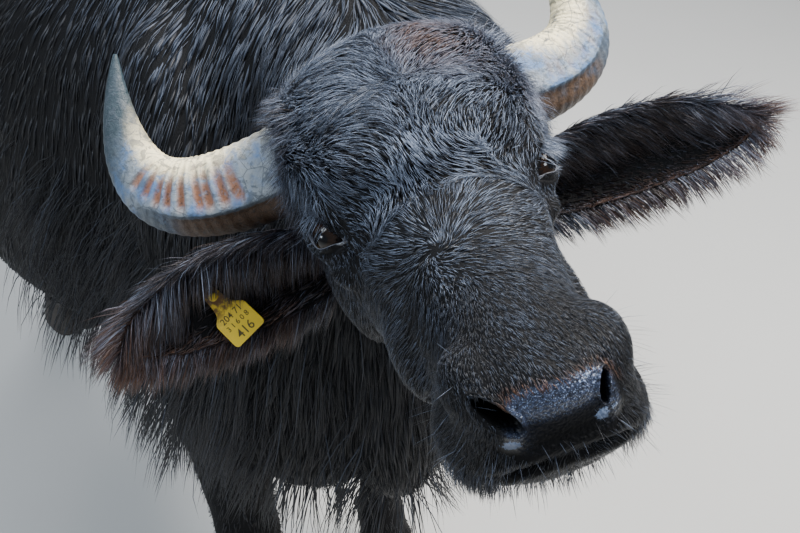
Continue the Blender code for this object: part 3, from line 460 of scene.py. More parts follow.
class Wire:
    # one socket of a finish; arithmetic on it adds Math nodes
    def __init__(self, finish, socket):
        self.finish = finish
        self.socket = socket

    def math(self, operation, first, second):
        return self.finish.add("Math", {"operation": operation}, {0: first, 1: second})

    def __add__(self, other):
        return self.math("ADD", self, other)

    __radd__ = __add__

    def __sub__(self, other):
        return self.math("SUBTRACT", self, other)

    def __rsub__(self, other):
        return self.math("SUBTRACT", other, self)

    def __mul__(self, other):
        return self.math("MULTIPLY", self, other)

    __rmul__ = __mul__

class Finish:
    # a material whose nodes are added from Python
    def __init__(self, name, **fixed):
        self.material = bpy.data.materials.new(name)
        self.material.use_nodes = True
        self.tree = self.material.node_tree
        self.shader = self.tree.nodes["Principled BSDF"]
        for key, value in fixed.items():
            self.shader.inputs[key].default_value = value

    def add(self, kind, settings=None, sockets=None, output=0):
        node = self.tree.nodes.new("ShaderNode" + kind)
        for key, value in (settings or {}).items():
            if key == "stops":
                ramp = node.color_ramp
                while len(ramp.elements) < len(value):
                    ramp.elements.new(1.0)
                for element, (position, colour) in zip(ramp.elements, value):
                    element.position = position
                    element.color = colour
            else:
                setattr(node, key, value)
        for key, value in (sockets or {}).items():
            if isinstance(value, Wire):
                self.tree.links.new(value.socket, node.inputs[key])
            else:
                node.inputs[key].default_value = value
        return Wire(self, node.outputs[output])

    def into(self, name, wire):
        self.tree.links.new(wire.socket, self.shader.inputs[name])

    def attribute(self, name):
        return self.add("Attribute", {"attribute_name": name}, output="Fac")

    def place(self):
        return self.add("TexCoord", output="Object")

    def noise(self, vector, scale, detail=3.0, roughness=0.5, distortion=0.0):
        return self.add("TexNoise", {}, {"Vector": vector, "Scale": scale, "Detail": detail,
                                         "Roughness": roughness, "Distortion": distortion})

    def stretched(self, vector, scale):
        return self.add("Mapping", {}, {"Vector": vector, "Scale": scale})

    def between(self, wire, low, high):
        # 0 below low and 1 above high, soft at both ends
        return self.add("MapRange", {"interpolation_type": "SMOOTHSTEP"},
                        {"Value": wire, "From Min": low, "From Max": high})

    def mix(self, factor, first, second):
        return self.add("Mix", {"data_type": "RGBA"}, {0: factor, 6: first, 7: second}, output=2)

    def ramp(self, wire, stops):
        return self.add("ValToRGB", {"stops": stops}, {0: wire})

    def layered(self, colour, look, layers):
        for factor, name in layers:
            colour = self.mix(factor, colour, look[name])
        return colour

    def bump(self, height, strength, distance):
        return self.add("Bump", {}, {"Height": height, "Strength": strength, "Distance": distance})


def rgb(red, green, blue):
    return (red, green, blue, 1.0)


def setValue(mesh, name, values):
    layer = mesh.attributes.new(name, "FLOAT", "POINT")
    layer.data.foreach_set("value", np.asarray(values, np.float32))


def asPiece(obj, finish, replaces=(), smooth=True):
    obj.data.materials.clear()
    obj.data.materials.append(finish.material)
    if smooth:
        obj.data.shade_smooth()
    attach(obj, "root")
    if replaces:
        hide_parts(*replaces)
    return obj


hideLook = {
    "skin": rgb(0.0020, 0.0020, 0.0026),
    "worn": rgb(0.0050, 0.0050, 0.0060),
    "bare": rgb(0.0030, 0.0034, 0.0060),
    # painted sheen: the wet upper nose's reflection of light, in a bluish colour
    "paintedSheen": rgb(0.046, 0.060, 0.112),
    # painted reflections of light on the wet nose
    "glint": rgb(0.40, 0.52, 0.78),
    # painted highlight along the wet lower lids and the lit edge of the upper lip
    "pale": rgb(0.100, 0.106, 0.130),
    # painted shade: near black in the nostrils, the mouth's crease and under the nose
    "hollow": rgb(0.0004, 0.0003, 0.0003),
}


def makeHideFinish():
    # "bare" is 1 on the nose and lips, "wet" where they are wet and shine, also under a painted bluish sheen,
    # "glint" on painted reflections of light, "rim" on painted highlights along the lips and lids,
    # "hollow" on painted shade in the nostrils, the mouth and under the nose
    hide = Finish("buffalo_hide", **{"Specular IOR Level": 0.15})
    here = hide.place()
    bare = hide.attribute("bare")
    patches = hide.noise(here, 9.0, 4.0)
    wet = hide.attribute("wet")
    drops = hide.noise(here, 320.0, 3.0, 0.6)
    sparkle = hide.noise(here, 760.0, 2.0, 0.7)
    pools = hide.attribute("glint") * 0.6 + drops * 0.5 + sparkle * 0.5
    colour = hide.mix(patches, hideLook["skin"], hideLook["worn"])
    hide.into("Base Color", hide.layered(colour, hideLook, (
        (bare, "bare"),
        # painted light: a bluish sheen on the wet nose broken by drops, specks of reflected light, and pools of
        # it
        (bare * wet * hide.between(drops, 0.25, 0.75), "paintedSheen"),
        (bare * wet * hide.between(sparkle, 0.56, 0.66) * 0.5, "glint"),
        (hide.between(pools, 0.88, 1.02), "glint"),
        # painted highlight along the lids and lips
        (hide.attribute("rim"), "pale"),
        # painted shade in the nostrils, the mouth and under the nose
        (hide.attribute("hollow"), "hollow"),
    )))
    grease = hide.noise(here, 140.0, 2.0)
    hide.into("Roughness", 0.66 - wet * (0.46 - grease * 0.20))
    hide.into("Coat Weight", hide.between(wet, 0.3, 1.0))
    shortHair = hide.noise(hide.stretched(here, (420.0, 420.0, 60.0)), 1.0, 3.0, 0.6)
    pores = hide.noise(here, 900.0, 2.0)
    beads = 1 - hide.add("TexVoronoi", {"feature": "SMOOTH_F1"}, {"Vector": here, "Scale": 330.0})
    height = shortHair * (1 - bare) + (pores * 0.3 + beads * 1.4) * bare
    hide.into("Normal", hide.bump(height, 0.6, 0.0020))
    hide.shader.inputs["Coat Roughness"].default_value = 0.12
    return hide


coatLook = {
    "deep": rgb(0.0022, 0.0023, 0.0032),
    "mid": rgb(0.0130, 0.0145, 0.0200),
    # grey and silver are paler hairs whose bluish tint is a painted sheen of reflected light
    "grey": rgb(0.056, 0.072, 0.108),
    "silverSheen": rgb(0.230, 0.278, 0.375),
    "rust": rgb(0.150, 0.060, 0.022),
}


def makeCoatFinish(name, shine, dull):
    # "tone" differs from tuft to tuft, raised or lowered by painted light and shade, "along" runs from root to
    # tip, "warm" is sun-bleached brown
    coat = Finish(name, **{"Specular IOR Level": shine})
    tone = coat.attribute("tone")
    along = coat.attribute("along")
    warm = coat.attribute("warm")
    colour = coat.ramp(tone, [(0.0, coatLook["deep"]), (0.40, coatLook["mid"]), (0.70, coatLook["grey"]),
                              (1.0, coatLook["silverSheen"])])
    colour = coat.mix(warm * (0.35 + along * 0.65), colour, coatLook["rust"])
    coat.into("Base Color", colour)
    coat.into("Roughness", dull - along * 0.10 - tone * 0.08)
    return coat


hornLook = {
    "cream": rgb(0.86, 0.75, 0.48),
    "blue": rgb(0.085, 0.165, 0.320),
    "grey": rgb(0.240, 0.270, 0.295),
    "slate": rgb(0.050, 0.066, 0.085),
    "tip": rgb(0.018, 0.036, 0.048),
    "rust": rgb(0.27, 0.115, 0.058),
    "under": rgb(0.090, 0.052, 0.030),
    "dirtAndShade": rgb(0.045, 0.030, 0.022),
}


def makeHornFinish():
    # "along" 0 at the skull to 1 at the tip, "inner" 1 on the inner curve, whose cream is partly its own colour
    # and partly a painted highlight, "groove" 1 in the grooves, "under" 1 on the rough brown underside
    horn = Finish("buffalo_horn", **{"Specular IOR Level": 0.45})
    here = horn.place()
    along = horn.attribute("along")
    inner = horn.attribute("inner")
    groove = horn.attribute("groove")
    under = horn.attribute("under")
    cloud = horn.noise(here, 30.0, 5.0, 0.62)
    mottle = horn.noise(here, 85.0, 5.0, 0.65, 0.6)
    flecks = horn.noise(here, 260.0, 4.0, 0.7)
    cracks = horn.add("TexVoronoi", {"feature": "DISTANCE_TO_EDGE"}, {"Vector": here, "Scale": 46.0})
    chalk = inner + mottle * 0.6 - 0.52 + horn.between(along, 0.16, 0.34) * 0.22
    colour = horn.mix(horn.between(cloud, 0.38, 0.62), hornLook["blue"], hornLook["grey"])
    horn.into("Base Color", horn.layered(colour, hornLook, (
        # cream: partly the horn's pale colour, partly a painted highlight on the inner curve where light falls
        (horn.between(chalk, 0.62, 0.92), "cream"),
        (horn.between(along + cloud * 0.20 - inner * 0.16, 0.60, 0.86), "tip"),
        (horn.between(mottle, 0.51, 0.59) * 0.62, "slate"),
        ((1 - horn.between(cracks, 0.004, 0.035)) * horn.between(cloud, 0.42, 0.60) * 0.7, "slate"),
        (groove * horn.between(mottle, 0.28, 0.50), "rust"),
        (groove * horn.between(flecks, 0.52, 0.66) * 0.7, "dirtAndShade"),
        (horn.between(under, 0.02, 0.20) * 0.8, "slate"),
        (horn.between(under, 0.45, 0.85) * horn.between(cloud, 0.25, 0.50), "under"),
        (under * horn.between(flecks, 0.48, 0.62) * 0.8, "dirtAndShade"),
        (horn.between(flecks, 0.60, 0.72) * 0.6, "slate"),
        # painted shade at the horn's root, under the hair that covers it
        (1 - horn.between(along, 0.09, 0.14), "dirtAndShade"),
    )))
    horn.into("Roughness", 0.36 + mottle * 0.20 + groove * 0.25)
    horn.into("Normal", horn.bump(flecks + mottle * 1.6, 0.75, 0.0018))
    return horn


hoofLook = {
    "dark": rgb(0.028, 0.025, 0.023),
    "band": rgb(0.075, 0.064, 0.055),
    "dust": rgb(0.14, 0.115, 0.09),
}


def makeHoofFinish():
    hoof = Finish("buffalo_hoof", **{"Specular IOR Level": 0.4})
    here = hoof.place()
    bands = hoof.noise(hoof.stretched(here, (14.0, 14.0, 190.0)), 1.0, 3.0)
    dust = hoof.noise(here, 32.0, 5.0, 0.6)
    colour = hoof.mix(bands, hoofLook["dark"], hoofLook["band"])
    hoof.into("Base Color", hoof.mix(hoof.between(dust, 0.55, 0.8) * 0.5, colour, hoofLook["dust"]))
    hoof.into("Roughness", 0.42 + dust * 0.3)
    hoof.into("Normal", hoof.bump(bands, 0.4, 0.001))
    return hoof


eyeLook = {
    "iris": [(0.0, rgb(0.003, 0.0015, 0.001)), (0.45, rgb(0.006, 0.003, 0.0015)),
             (0.80, rgb(0.024, 0.010, 0.004)), (1.0, rgb(0.003, 0.002, 0.002))],
    "edge": rgb(0.012, 0.008, 0.007),
    "white": rgb(0.060, 0.045, 0.040),
    "pupil": rgb(0.002, 0.002, 0.003),
}


def makeEyeFinish():
    # "ring" is the distance from the middle as a share of the iris, "bar" as a share of the wide pupil,
    # "fibre" differs from strand to strand of the iris
    eye = Finish("buffalo_eye", **{"Specular IOR Level": 0.25, "Coat Roughness": 0.015})
    ring = eye.attribute("ring")
    bar = eye.attribute("bar")
    fibres = eye.attribute("fibre")
    iris = eye.ramp(ring * 0.8 + fibres * 0.2, eyeLook["iris"])
    eye.into("Base Color", eye.layered(iris, eyeLook, (
        (eye.between(ring, 0.97, 1.06), "edge"),
        (eye.between(ring, 1.25, 1.6), "white"),
        (1 - eye.between(bar, 0.92, 1.06), "pupil"),
    )))
    eye.shader.inputs["Roughness"].default_value = 0.12
    eye.shader.inputs["Coat Weight"].default_value = 0.35
    return eye


tagLook = {
    "yellow": rgb(0.83, 0.60, 0.035),
    "deep": rgb(0.70, 0.47, 0.03),
    "smear": rgb(0.36, 0.25, 0.06),
    "stain": rgb(0.16, 0.08, 0.025),
    "ink": rgb(0.030, 0.026, 0.018),
    "wornInk": rgb(0.16, 0.12, 0.03),
}


def makeTagFinish():
    tag = Finish("tag_plastic", **{"Specular IOR Level": 0.45})
    here = tag.place()
    smear = tag.noise(here, 60.0, 5.0, 0.6)
    stain = tag.attribute("stain") * tag.between(tag.noise(here, 190.0, 4.0), 0.30, 0.55)
    colour = tag.mix(smear, tagLook["yellow"], tagLook["deep"])
    layers = ((tag.between(smear, 0.60, 0.80) * 0.5, "smear"), (stain, "stain"))
    tag.into("Base Color", tag.layered(colour, tagLook, layers))
    tag.into("Roughness", 0.36 + smear * 0.2)
    tag.into("Normal", tag.bump(tag.noise(here, 700.0, 2.0), 0.15, 0.0005))
    return tag


def makeInkFinish():
    ink = Finish("tag_ink", **{"Specular IOR Level": 0.3})
    worn = ink.noise(ink.place(), 900.0, 3.0)
    ink.into("Base Color", ink.mix(worn, tagLook["ink"], tagLook["wornInk"]))
    ink.shader.inputs["Roughness"].default_value = 0.55
    return ink


hideFinish = makeHideFinish()
coatFinish = makeCoatFinish("buffalo_coat", 0.45, 0.52)
bodyFinish = makeCoatFinish("buffalo_coat_body", 0.40, 0.60)
hornFinish = makeHornFinish()
hoofFinish = makeHoofFinish()
eyeFinish = makeEyeFinish()
tagFinish = makeTagFinish()
inkFinish = makeInkFinish()
print("finishes made")


def rowLoft(rows, matrix):
    # the torso or the head, through outlines across it
    rings = []
    for y, top, bottom, halfWidth, share, *form in smoothRows(rows, 4):
        middle = bottom + share * (top - bottom)
        outline = section(36, halfWidth, top - middle, middle - bottom, *form)
        rings.append([(a, y, middle + b) for a, b in outline])
    return moved(loft(rings), matrix)


def neckLoft(fromShare=0.0):
    start, end = place @ Vector(body["neckStart"]), head @ Vector(body["neckEnd"])
    rows = smoothRows(body["neck"], 4)
    rows = rows[rows[:, 0] >= fromShare]
    centres = []
    for share in rows[:, 0]:
        centre = start.lerp(end, share)
        centre.z += body["neckArch"] * sin(pi * share)
        centre.x += body["neckBow"] * sin(pi * share**1.6)
        centres.append(centre)
    return loft(tubeRings(centres, [section(32, *row[1:4], 2.2) for row in rows]))


def legLoft(rows, side, step):
    top = rows[0][0]
    rings = []
    for z, x, y, halfWidth, halfDepth in smoothRows(rows, 3):
        swing = step * (top - z) / (top - pose["coronet"])
        outline = section(20, halfWidth, halfDepth, halfDepth)
        rings.append([(side * x + a, y + swing + b, z) for a, b in outline])
    return moved(loft(rings), place)


def legRows(leg):
    return legs["front" if "front" in leg else "hind"]


def footOf(leg):
    # which side a leg is on, and the middle of the tops of its claws
    side = 1 if "left" in leg else -1
    x, y = legRows(leg)[-1][1:3]
    return side, Vector((side * x, y + pose["steps"][leg], pose["coronet"]))


def tailLoft():
    rows = smoothRows(tail["line"], 3)
    centres = [(0, y, z) for y, z, radius in rows]
    shape = loft(tubeRings(centres, [section(16, r, r, r) for r in rows[:, 2]], (1, 0, 0)))
    return moved(shape, place)


def allShapes():
    shapes = [rowLoft(body["torso"], place), neckLoft(), rowLoft(headForm["rows"], head), tailLoft()]
    claw = legs["dewclaw"]
    for leg, step in pose["steps"].items():
        side, coronet = footOf(leg)
        shapes.append(legLoft(legRows(leg), side, step))
        for dx in (-claw["apart"], claw["apart"]):
            at = coronet + Vector((dx, *claw["at"]))
            shapes.append(moved(ellipsoid(at, claw["radii"], (25, 0, 0)), place))
    shapes += [moved(ellipsoid(*row), place) for row in bothSides(body["masses"])]
    shapes += [moved(ellipsoid(*row), head) for row in bothSides(headForm["masses"])]
    return shapes


def headShapes():
    shapes = [neckLoft(0.40), rowLoft(headForm["rows"], head)]
    shapes += [moved(ellipsoid(*row), head) for row in bothSides(headForm["masses"])]
    return shapes + [moved(ellipsoid(*body["masses"][body["brisket"]]), place)]


def headPlanes():
    turn = head.to_3x3()
    return [(head @ Vector(point), turn @ Vector(normal))
            for point, normal in (headForm["throat"], headForm["jaw"])]


# how far the skin lies under the tops of the locks of the coat
skinDepth = {"body": 0.006, "neck": 0.010, "crown": -0.011, "face": 0.0020, "legs": 0.0015}

muzzle = {
    # x, y, z of the mouth's line from the middle to her left corner
    "mouth": [(0.000, -0.352, -0.078), (0.030, -0.346, -0.080), (0.058, -0.325, -0.085),
              (0.076, -0.275, -0.094), (0.076, -0.215, -0.094), (0.074, -0.160, -0.084)],
    "mouthWidth": 0.0042,
    "mouthDepth": 0.0080,
    # x, z and half width from the round outer end to the inner slit
    "nostrils": {
        "right": [(-0.0610, -0.0150, 0.0050), (-0.0570, -0.0190, 0.0068), (-0.0510, -0.0250, 0.0082),
                  (-0.0440, -0.0320, 0.0074), (-0.0380, -0.0380, 0.0040)],
        "left": [(0.0400, -0.0165, 0.0030), (0.0378, -0.0210, 0.0040), (0.0362, -0.0270, 0.0042),
                 (0.0352, -0.0340, 0.0032), (0.0350, -0.0390, 0.0018)],
    },
    "nostrilDeep": 0.028,
    "padHalf": (0.050, 0.033),
    "padAt": (0.0, -0.036),  # x and z of its middle
    # x, z, half width, half height and strength of the glints, painted reflections of light on the wet skin
    "glints": [(-0.0460, -0.0525, 0.0100, 0.0048, 1.3), (0.0310, -0.0500, 0.0080, 0.0080, 1.2),
               (0.0430, -0.0480, 0.0060, 0.0060, 0.8), (0.0240, -0.0100, 0.0200, 0.0065, 0.68),
               (-0.0100, -0.0160, 0.0260, 0.0080, 0.52)],
    "beadSpacing": 0.0034,
    "beadHeight": 0.0006,
    # height, distance from the mouth's line and width of the swell of the lips
    "lips": (0.0035, 0.011, 0.0065),
    # middle, radii and push of the flaps at the corners of the upper lip
    "flapAt": (0.066, -0.285, -0.080),
    "flapRadii": (0.020, 0.032, 0.022),
    "flapPush": (0.006, 0.0, -0.013),
    "nostrilRim": 0.0032,
    "nostrilWay": (0, 1.0, 0.12),
}

# hollows round an eye: towards the nose, upwards, their widths and their depth
sockets = {
    "sink": 0.016,
    "hollows": [((-0.014, 0.034), (0.020, 0.011), 0.0035),  # over the eye
                ((0.033, -0.010), (0.014, 0.006), 0.004)],  # the tear's fold
}


def mouthLine():
    half = muzzle["mouth"]
    path = [(-x, y, z) for x, y, z in reversed(half[1:])] + half
    return smoothRows(path, 8)


def nearestIn(targets, points):
    tree = KDTree(len(targets))
    for k, target in enumerate(targets):
        tree.insert(target, k)
    tree.balance()
    found = [tree.find(point) for point in points]
    return np.array([f[1] for f in found]), np.array([f[2] for f in found])


def nostrilField(at):
    # below 1 inside either nostril, in the head's own axes
    reach = np.full(len(at), 9.0)
    near = np.nonzero(at[:, 1] < -0.265)[0]
    for rows in muzzle["nostrils"].values():
        for x, z, half in smoothRows(rows, 7):
            away = np.hypot(at[near, 0] - x, at[near, 2] - z) / half
            reach[near] = np.minimum(reach[near], away)
    return reach


def padField(at):
    # below 1 on the bare wet nose
    x = (at[:, 0] - muzzle["padAt"][0]) / muzzle["padHalf"][0]
    z = (at[:, 2] - muzzle["padAt"][1]) / muzzle["padHalf"][1]
    reach = (np.abs(x) ** 3 + np.abs(z) ** 3) ** (1 / 3)
    return np.where(at[:, 1] < -0.25, reach, 9.0)


def glintField(at):
    # painted pools of light, reflections on the wet skin below the nostrils and along the top of the nose
    field = np.zeros(len(at))
    for x, z, wide, high, strength in muzzle["glints"]:
        field = np.maximum(field, strength * bell((at[:, 0] - x, wide), (at[:, 2] - z, high)))
    return np.clip(field, 0, 1) * (at[:, 1] < -0.30)


def refineMuzzle(obj):
    # the nose and lips get finer faces for their beads, nostrils and folds
    with editing(obj) as mesh:
        wanted = []
        for edge in mesh.edges:
            middle = inHead @ ((edge.verts[0].co + edge.verts[1].co) / 2)
            if middle.y < -0.262 and -0.112 < middle.z:
                wanted.append(edge)
        bmesh.ops.subdivide_edges(mesh, edges=wanted, cuts=2, use_grid_fill=True)
        near = [v for v in mesh.verts if (inHead @ v.co).y < -0.255 and (inHead @ v.co).z > -0.12]
        relax(mesh, near, 6)


def flapField(at, middle, radii):
    # 1 at the corners of the upper lip, which hang down as flaps
    x, y, z = at.T
    away = (np.abs(x) - middle[0], y - middle[1], z - middle[2])
    return bell(*zip(away, radii))


def beadSpots(at, order, spacing):
    # points taken in that order, none nearer than about the spacing to one before it
    spots, taken = [], {}
    for k in order:
        cell = np.floor(at[k] / spacing).astype(int)
        around = (tuple(cell + step) for step in product((-1, 0, 1), repeat=3))
        others = [other for near in around for other in taken.get(near, ())]
        if all(np.linalg.norm(other - at[k]) >= spacing * 0.86 for other in others):
            taken.setdefault(tuple(cell), []).append(at[k])
            spots.append(at[k])
    return np.array(spots)


def sculptHead(obj):
    points = pointsOf(obj.data)
    normals = normalsOf(obj.data)
    at = through(inHead, points)
    out = turned(inHead, normals)

    # the skin lies under the coat
    x, y, z = at.T
    crown = smoothStep(-0.08, 0.03, y) * smoothStep(0.00, 0.05, z)
    behind = smoothStep(0.10, 0.17, y)
    nose = 1 - smoothStep(-0.25, -0.19, y)
    depth = skinDepth["face"] + crown * (skinDepth["crown"] - skinDepth["face"])
    depth = depth + behind * (skinDepth["neck"] - depth)
    depth = depth * (1 - nose)
    at = at - out * depth[:, None]

    # eye sockets: the skin sinks behind the lids
    for side in sides.values():
        centre, gaze, front, rise = eyeAxes(side)
        away = at - np.array(centre)
        flat = away - (away @ gaze)[:, None] * gaze
        reach = np.sqrt((flat @ front / 1.18) ** 2 + (flat @ rise) ** 2)
        facing = (away @ gaze) > 0
        sink = (1 - smoothStep(0.017, 0.030, reach)) * facing
        at = at - sink[:, None] * gaze * sockets["sink"]
        for (u, v), (wide, high), deep in sockets["hollows"]:
            hollow = bell((flat @ front - u, wide), (flat @ rise - v, high)) * facing
            at = at - (hollow * deep)[:, None] * gaze

    # mouth
    line = mouthLine()
    which, gap = nearestIn(line, at)
    above = at[:, 2] - line[which, 2]
    mouth = muzzle["mouthDepth"] * bell((gap, muzzle["mouthWidth"]))
    swell, swellAt, swellWidth = muzzle["lips"]
    lips = swell * bell((gap - swellAt, swellWidth)) * np.where(above > 0, 1.0, 0.75)
    at = at + out * (lips - mouth)[:, None]
    flap = flapField(at, muzzle["flapAt"], muzzle["flapRadii"])
    aside, back, down = muzzle["flapPush"]
    at = at + flap[:, None] * stack(np.sign(at[:, 0]) * aside, back, down)

    # nostrils: the rim swells, the hole runs back and slightly up
    reach = nostrilField(at)
    deep = (1 - smoothStep(0.60, 1.10, reach)) * muzzle["nostrilDeep"]
    rim = muzzle["nostrilRim"] * bell((reach - 1.45, 0.35))
    # painted shade inside the nostrils
    hollow = 1 - smoothStep(0.85, 1.35, reach)
    at = at + out * rim[:, None] + deep[:, None] * np.array(muzzle["nostrilWay"])

    # beads of the nose
    pad = padField(at)
    bare = 1 - smoothStep(0.90, 1.06, pad)
    onPad = np.nonzero((bare > 0.02) & (reach > 0.9))[0]
    spacing = muzzle["beadSpacing"]
    gap = gapTo(beadSpots(at, np.random.default_rng(31).permutation(onPad), spacing), at[onPad])
    bead = np.zeros(len(at))
    bead[onPad] = np.sqrt(np.clip(1 - (gap / (spacing * 0.62)) ** 2, 0, 1)) * muzzle["beadHeight"]
    bead *= bare * smoothStep(0.95, 1.25, reach)
    at = at + out * bead[:, None]

    which, gap = nearestIn(line, at)
    # painted highlight along the upper lip's lit edge
    lipRim = bell((gap - 0.006, 0.004)) * (at[:, 2] > line[which, 2])
    setPoints(obj.data, through(head, at))
    setValue(obj.data, "bare", np.clip(bare + 0.8 * bell((gap, 0.012)), 0, 1))
    setValue(obj.data, "rim", lipRim * 0.35 * (np.abs(at[:, 0]) < 0.06))
    # painted shade in the mouth's crease and on the underside of the nose and upper lip
    hollow = np.maximum(hollow, 1 - smoothStep(0.001, 0.0035, gap))
    hollow = np.maximum(hollow, 0.8 * smoothStep(0.036, 0.056, -at[:, 2]) * (at[:, 1] < -0.30))
    setValue(obj.data, "hollow", hollow)
    # the wet mask also carries the painted sheen and specks of light
    wet = bare * smoothStep(0.040, 0.022, -at[:, 2])
    for x in (-0.046, 0.046):
        beside = np.hypot(at[:, 0] - x, at[:, 2] + 0.050)
        wet = np.maximum(wet, bell((beside, 0.013)) * (at[:, 1] < -0.30))
    setValue(obj.data, "wet", wet)
    setValue(obj.data, "glint", glintField(at))


def gapTo(line, at):
    return nearestIn(line, at)[1]


def eyeAxes(side):
    # centre, gaze, towards the nose and upwards, in the head's own axes
    gaze = Vector((side * 0.74, -0.58, 0.34)).normalized()
    front = Vector((-0.58 * side, -0.74, 0.0))
    front = (front - gaze * front.dot(gaze)).normalized()
    rise = gaze.cross(front) * side
    if rise.z < 0:
        rise = -rise
    centre = eyeCentre(side) + Vector((side * eyeBall["out"], 0, 0))
    return centre, np.array(gaze), np.array(front), np.array(rise)


def sinkBody(obj):
    # the withers and neck are smoothed, and the flesh sinks under the coat
    with editing(obj) as mesh:
        relax(mesh, [v for v in mesh.verts if v.co.y < 0.20 and v.co.z > 1.02], 45)
    points = pointsOf(obj.data)
    normals = normalsOf(obj.data)
    level = points[:, 2]
    neckward = smoothStep(-0.25, -0.50, points[:, 1])
    depth = skinDepth["body"] + neckward * (skinDepth["neck"] - skinDepth["body"])
    depth = depth + (1 - smoothStep(0.50, 0.66, level)) * (skinDepth["legs"] - depth)
    depth = depth * smoothStep(0.075, 0.10, level)
    points = points - normals * depth[:, None]
    points = points + normals * (ripple(points, 0.20, 5) * 0.0022 * smoothStep(0.3, 0.6, level))[:, None]
    setPoints(obj.data, points)
    for mark in ("bare", "rim", "hollow", "wet", "glint"):
        setValue(obj.data, mark, np.zeros(len(points)))


ears = {
    "root": (0.110, 0.082, -0.064),
    "tip": {"left": (0.388, 0.049, -0.062), "right": (-0.360, 0.053, -0.080)},
    "widths": [(0.00, 0.034), (0.10, 0.042), (0.25, 0.050), (0.42, 0.053), (0.60, 0.050),
               (0.75, 0.042), (0.88, 0.029), (0.96, 0.016), (1.00, 0.005)],
    "cup": 0.040,
    "bow": 0.010,
    "thick": 0.0070,
    "along": 46,
    "across": 26,
    # how far the long hair in front runs outwards and down, and how many tufts it has
    "drape": {"left": (0.85, 0.36), "right": (0.45, 0.80)},
    "veil": {"left": 2200, "right": 3600},
    "openBelow": (0.55, 0.72),  # no long hair grows just above the tag
    # strength of the painted light on each ear's fringe: the left ear lies in the light, the right in shade
    "pale": {"left": 1.3, "right": 0.8},
}


def earFrame(name):
    side = sides[name]
    x, y, z = ears["root"]
    root = Vector((side * x, y, z))
    along = Vector(ears["tip"][name]) - root
    back = Vector((0.10 * side, 1, -0.12))
    rise = along.cross(back).normalized() * side
    return root, along, rise, rise.cross(along).normalized() * side


def earPoint(name, share, across, lift):
    root, along, rise, back = earFrame(name)
    widths = np.array(smoothRows(ears["widths"], 3))
    half = np.interp(share, widths[:, 0], widths[:, 1])
    cup = ears["cup"] * (1 - share * 0.8)
    depth = cup * (1 - across**2) - cup * 0.5 + lift
    return root + along * share + rise * (across * half + ears["bow"] * sin(pi * share)) + back * depth


def makeEar(name):
    rings = []
    for share in np.linspace(0.0, 1.0, ears["along"]):
        thick = ears["thick"] * (1 - 0.6 * share)
        turns = np.linspace(-1, 1, ears["across"])
        folds = [0.0009 * sin(a * 9 + share * 4) * (1 - a * a) * (1 - share) for a in turns]
        edges = np.sqrt(np.clip(1 - turns[::-1] ** 4, 0, 1))
        lifts = folds + [thick * (0.25 + 0.75 * edge) for edge in edges]
        rings.append([earPoint(name, share, a * 0.985, lift) for a, lift in zip([*turns, *turns[::-1]], lifts)])
    return moved(loft(rings), head)


def makeSkin():
    # the body with the neck, and the finer head, each cut where it meets the other
    bodySkin = fused("body_skin", allShapes(), body["grain"], body["rounds"])
    headSkin = fused("head_skin", headShapes(), headForm["grain"], headForm["rounds"])
    planes = headPlanes()
    block = newObject("block", bpy.data.meshes.new("block"))
    with editing(block) as cube:
        bmesh.ops.create_cube(cube, size=6)
    trim(block, planes, -headForm["overlap"])
    cutAway(bodySkin, block)
    trim(headSkin, planes, headForm["overlap"])
    keepLargest(headSkin)
    refineMuzzle(headSkin)
    sinkBody(bodySkin)
    sculptHead(headSkin)
    return bodySkin, headSkin


bodySkin, headSkin = makeSkin()
print("skin", len(bodySkin.data.polygons), len(headSkin.data.polygons))


class Guide:
    # a skin that hair grows from: its triangles, normals and nearest points
    def __init__(self, mesh):
        self.points = pointsOf(mesh)
        self.normals = normalsOf(mesh)
        mesh.calc_loop_triangles()
        corners = np.zeros(len(mesh.loop_triangles) * 3, np.int32)
        mesh.loop_triangles.foreach_get("vertices", corners)
        self.corners = corners.reshape(-1, 3)
        a, b, c = (self.points[self.corners[:, k]] for k in range(3))
        self.areas = np.linalg.norm(np.cross(b - a, c - a), axis=1) / 2
        self.middles = (a + b + c) / 3
        self.faceNormals = unit(np.cross(b - a, c - a))
        self.tree = BVHTree.FromPolygons(self.points.tolist(), self.corners.tolist())

    def roots(self, count, density, draw):
        weight = self.areas * density(self.middles, self.faceNormals)
        picks = draw.choice(len(weight), size=count, p=weight / weight.sum())
        u, v = np.sqrt(draw.random(count)), draw.random(count)
        w = np.stack([1 - u, u * (1 - v), u * v], axis=1)[:, :, None]
        corners = self.corners[picks]
        return (self.points[corners] * w).sum(axis=1), unit((self.normals[corners] * w).sum(axis=1))

    def settle(self, points):
        near, out = np.empty_like(points), np.empty_like(points)
        for k, point in enumerate(points.tolist()):
            spot, normal = self.tree.find_nearest(point)[:2]
            near[k] = spot
            out[k] = normal
        return near, out


bodyGuide = Guide(bodySkin.data)
headGuide = Guide(headSkin.data)
earMeshes = {name: meshFrom("ear", [makeEar(name)]) for name in sides}
earGuides = {name: Guide(mesh) for name, mesh in earMeshes.items()}

keptFaces = 0.64  # share of the skin's faces


def joinSkin():
    # one skin from the body, the head and the two ears
    whole = bmesh.new()
    for mesh in [bodySkin.data, headSkin.data, *earMeshes.values()]:
        whole.from_mesh(mesh)
    mesh = bpy.data.meshes.new("hide_skin")
    whole.to_mesh(mesh)
    whole.free()
    skin = newObject("hide_skin", mesh)
    for old in (bodySkin, headSkin):
        bpy.data.objects.remove(old)
    # fewer faces where the skin is nearly flat; the coat has its guides already
    thin = skin.modifiers.new("thin", "DECIMATE")
    thin.ratio = keptFaces
    settle(skin)
    flesh = ["head", "neck", "torso", "tail", "ear_left", "ear_right"]
    flesh += ["leg_" + leg for leg in pose["steps"]]
    asPiece(skin, hideFinish, flesh)


joinSkin()
print("skin joined")

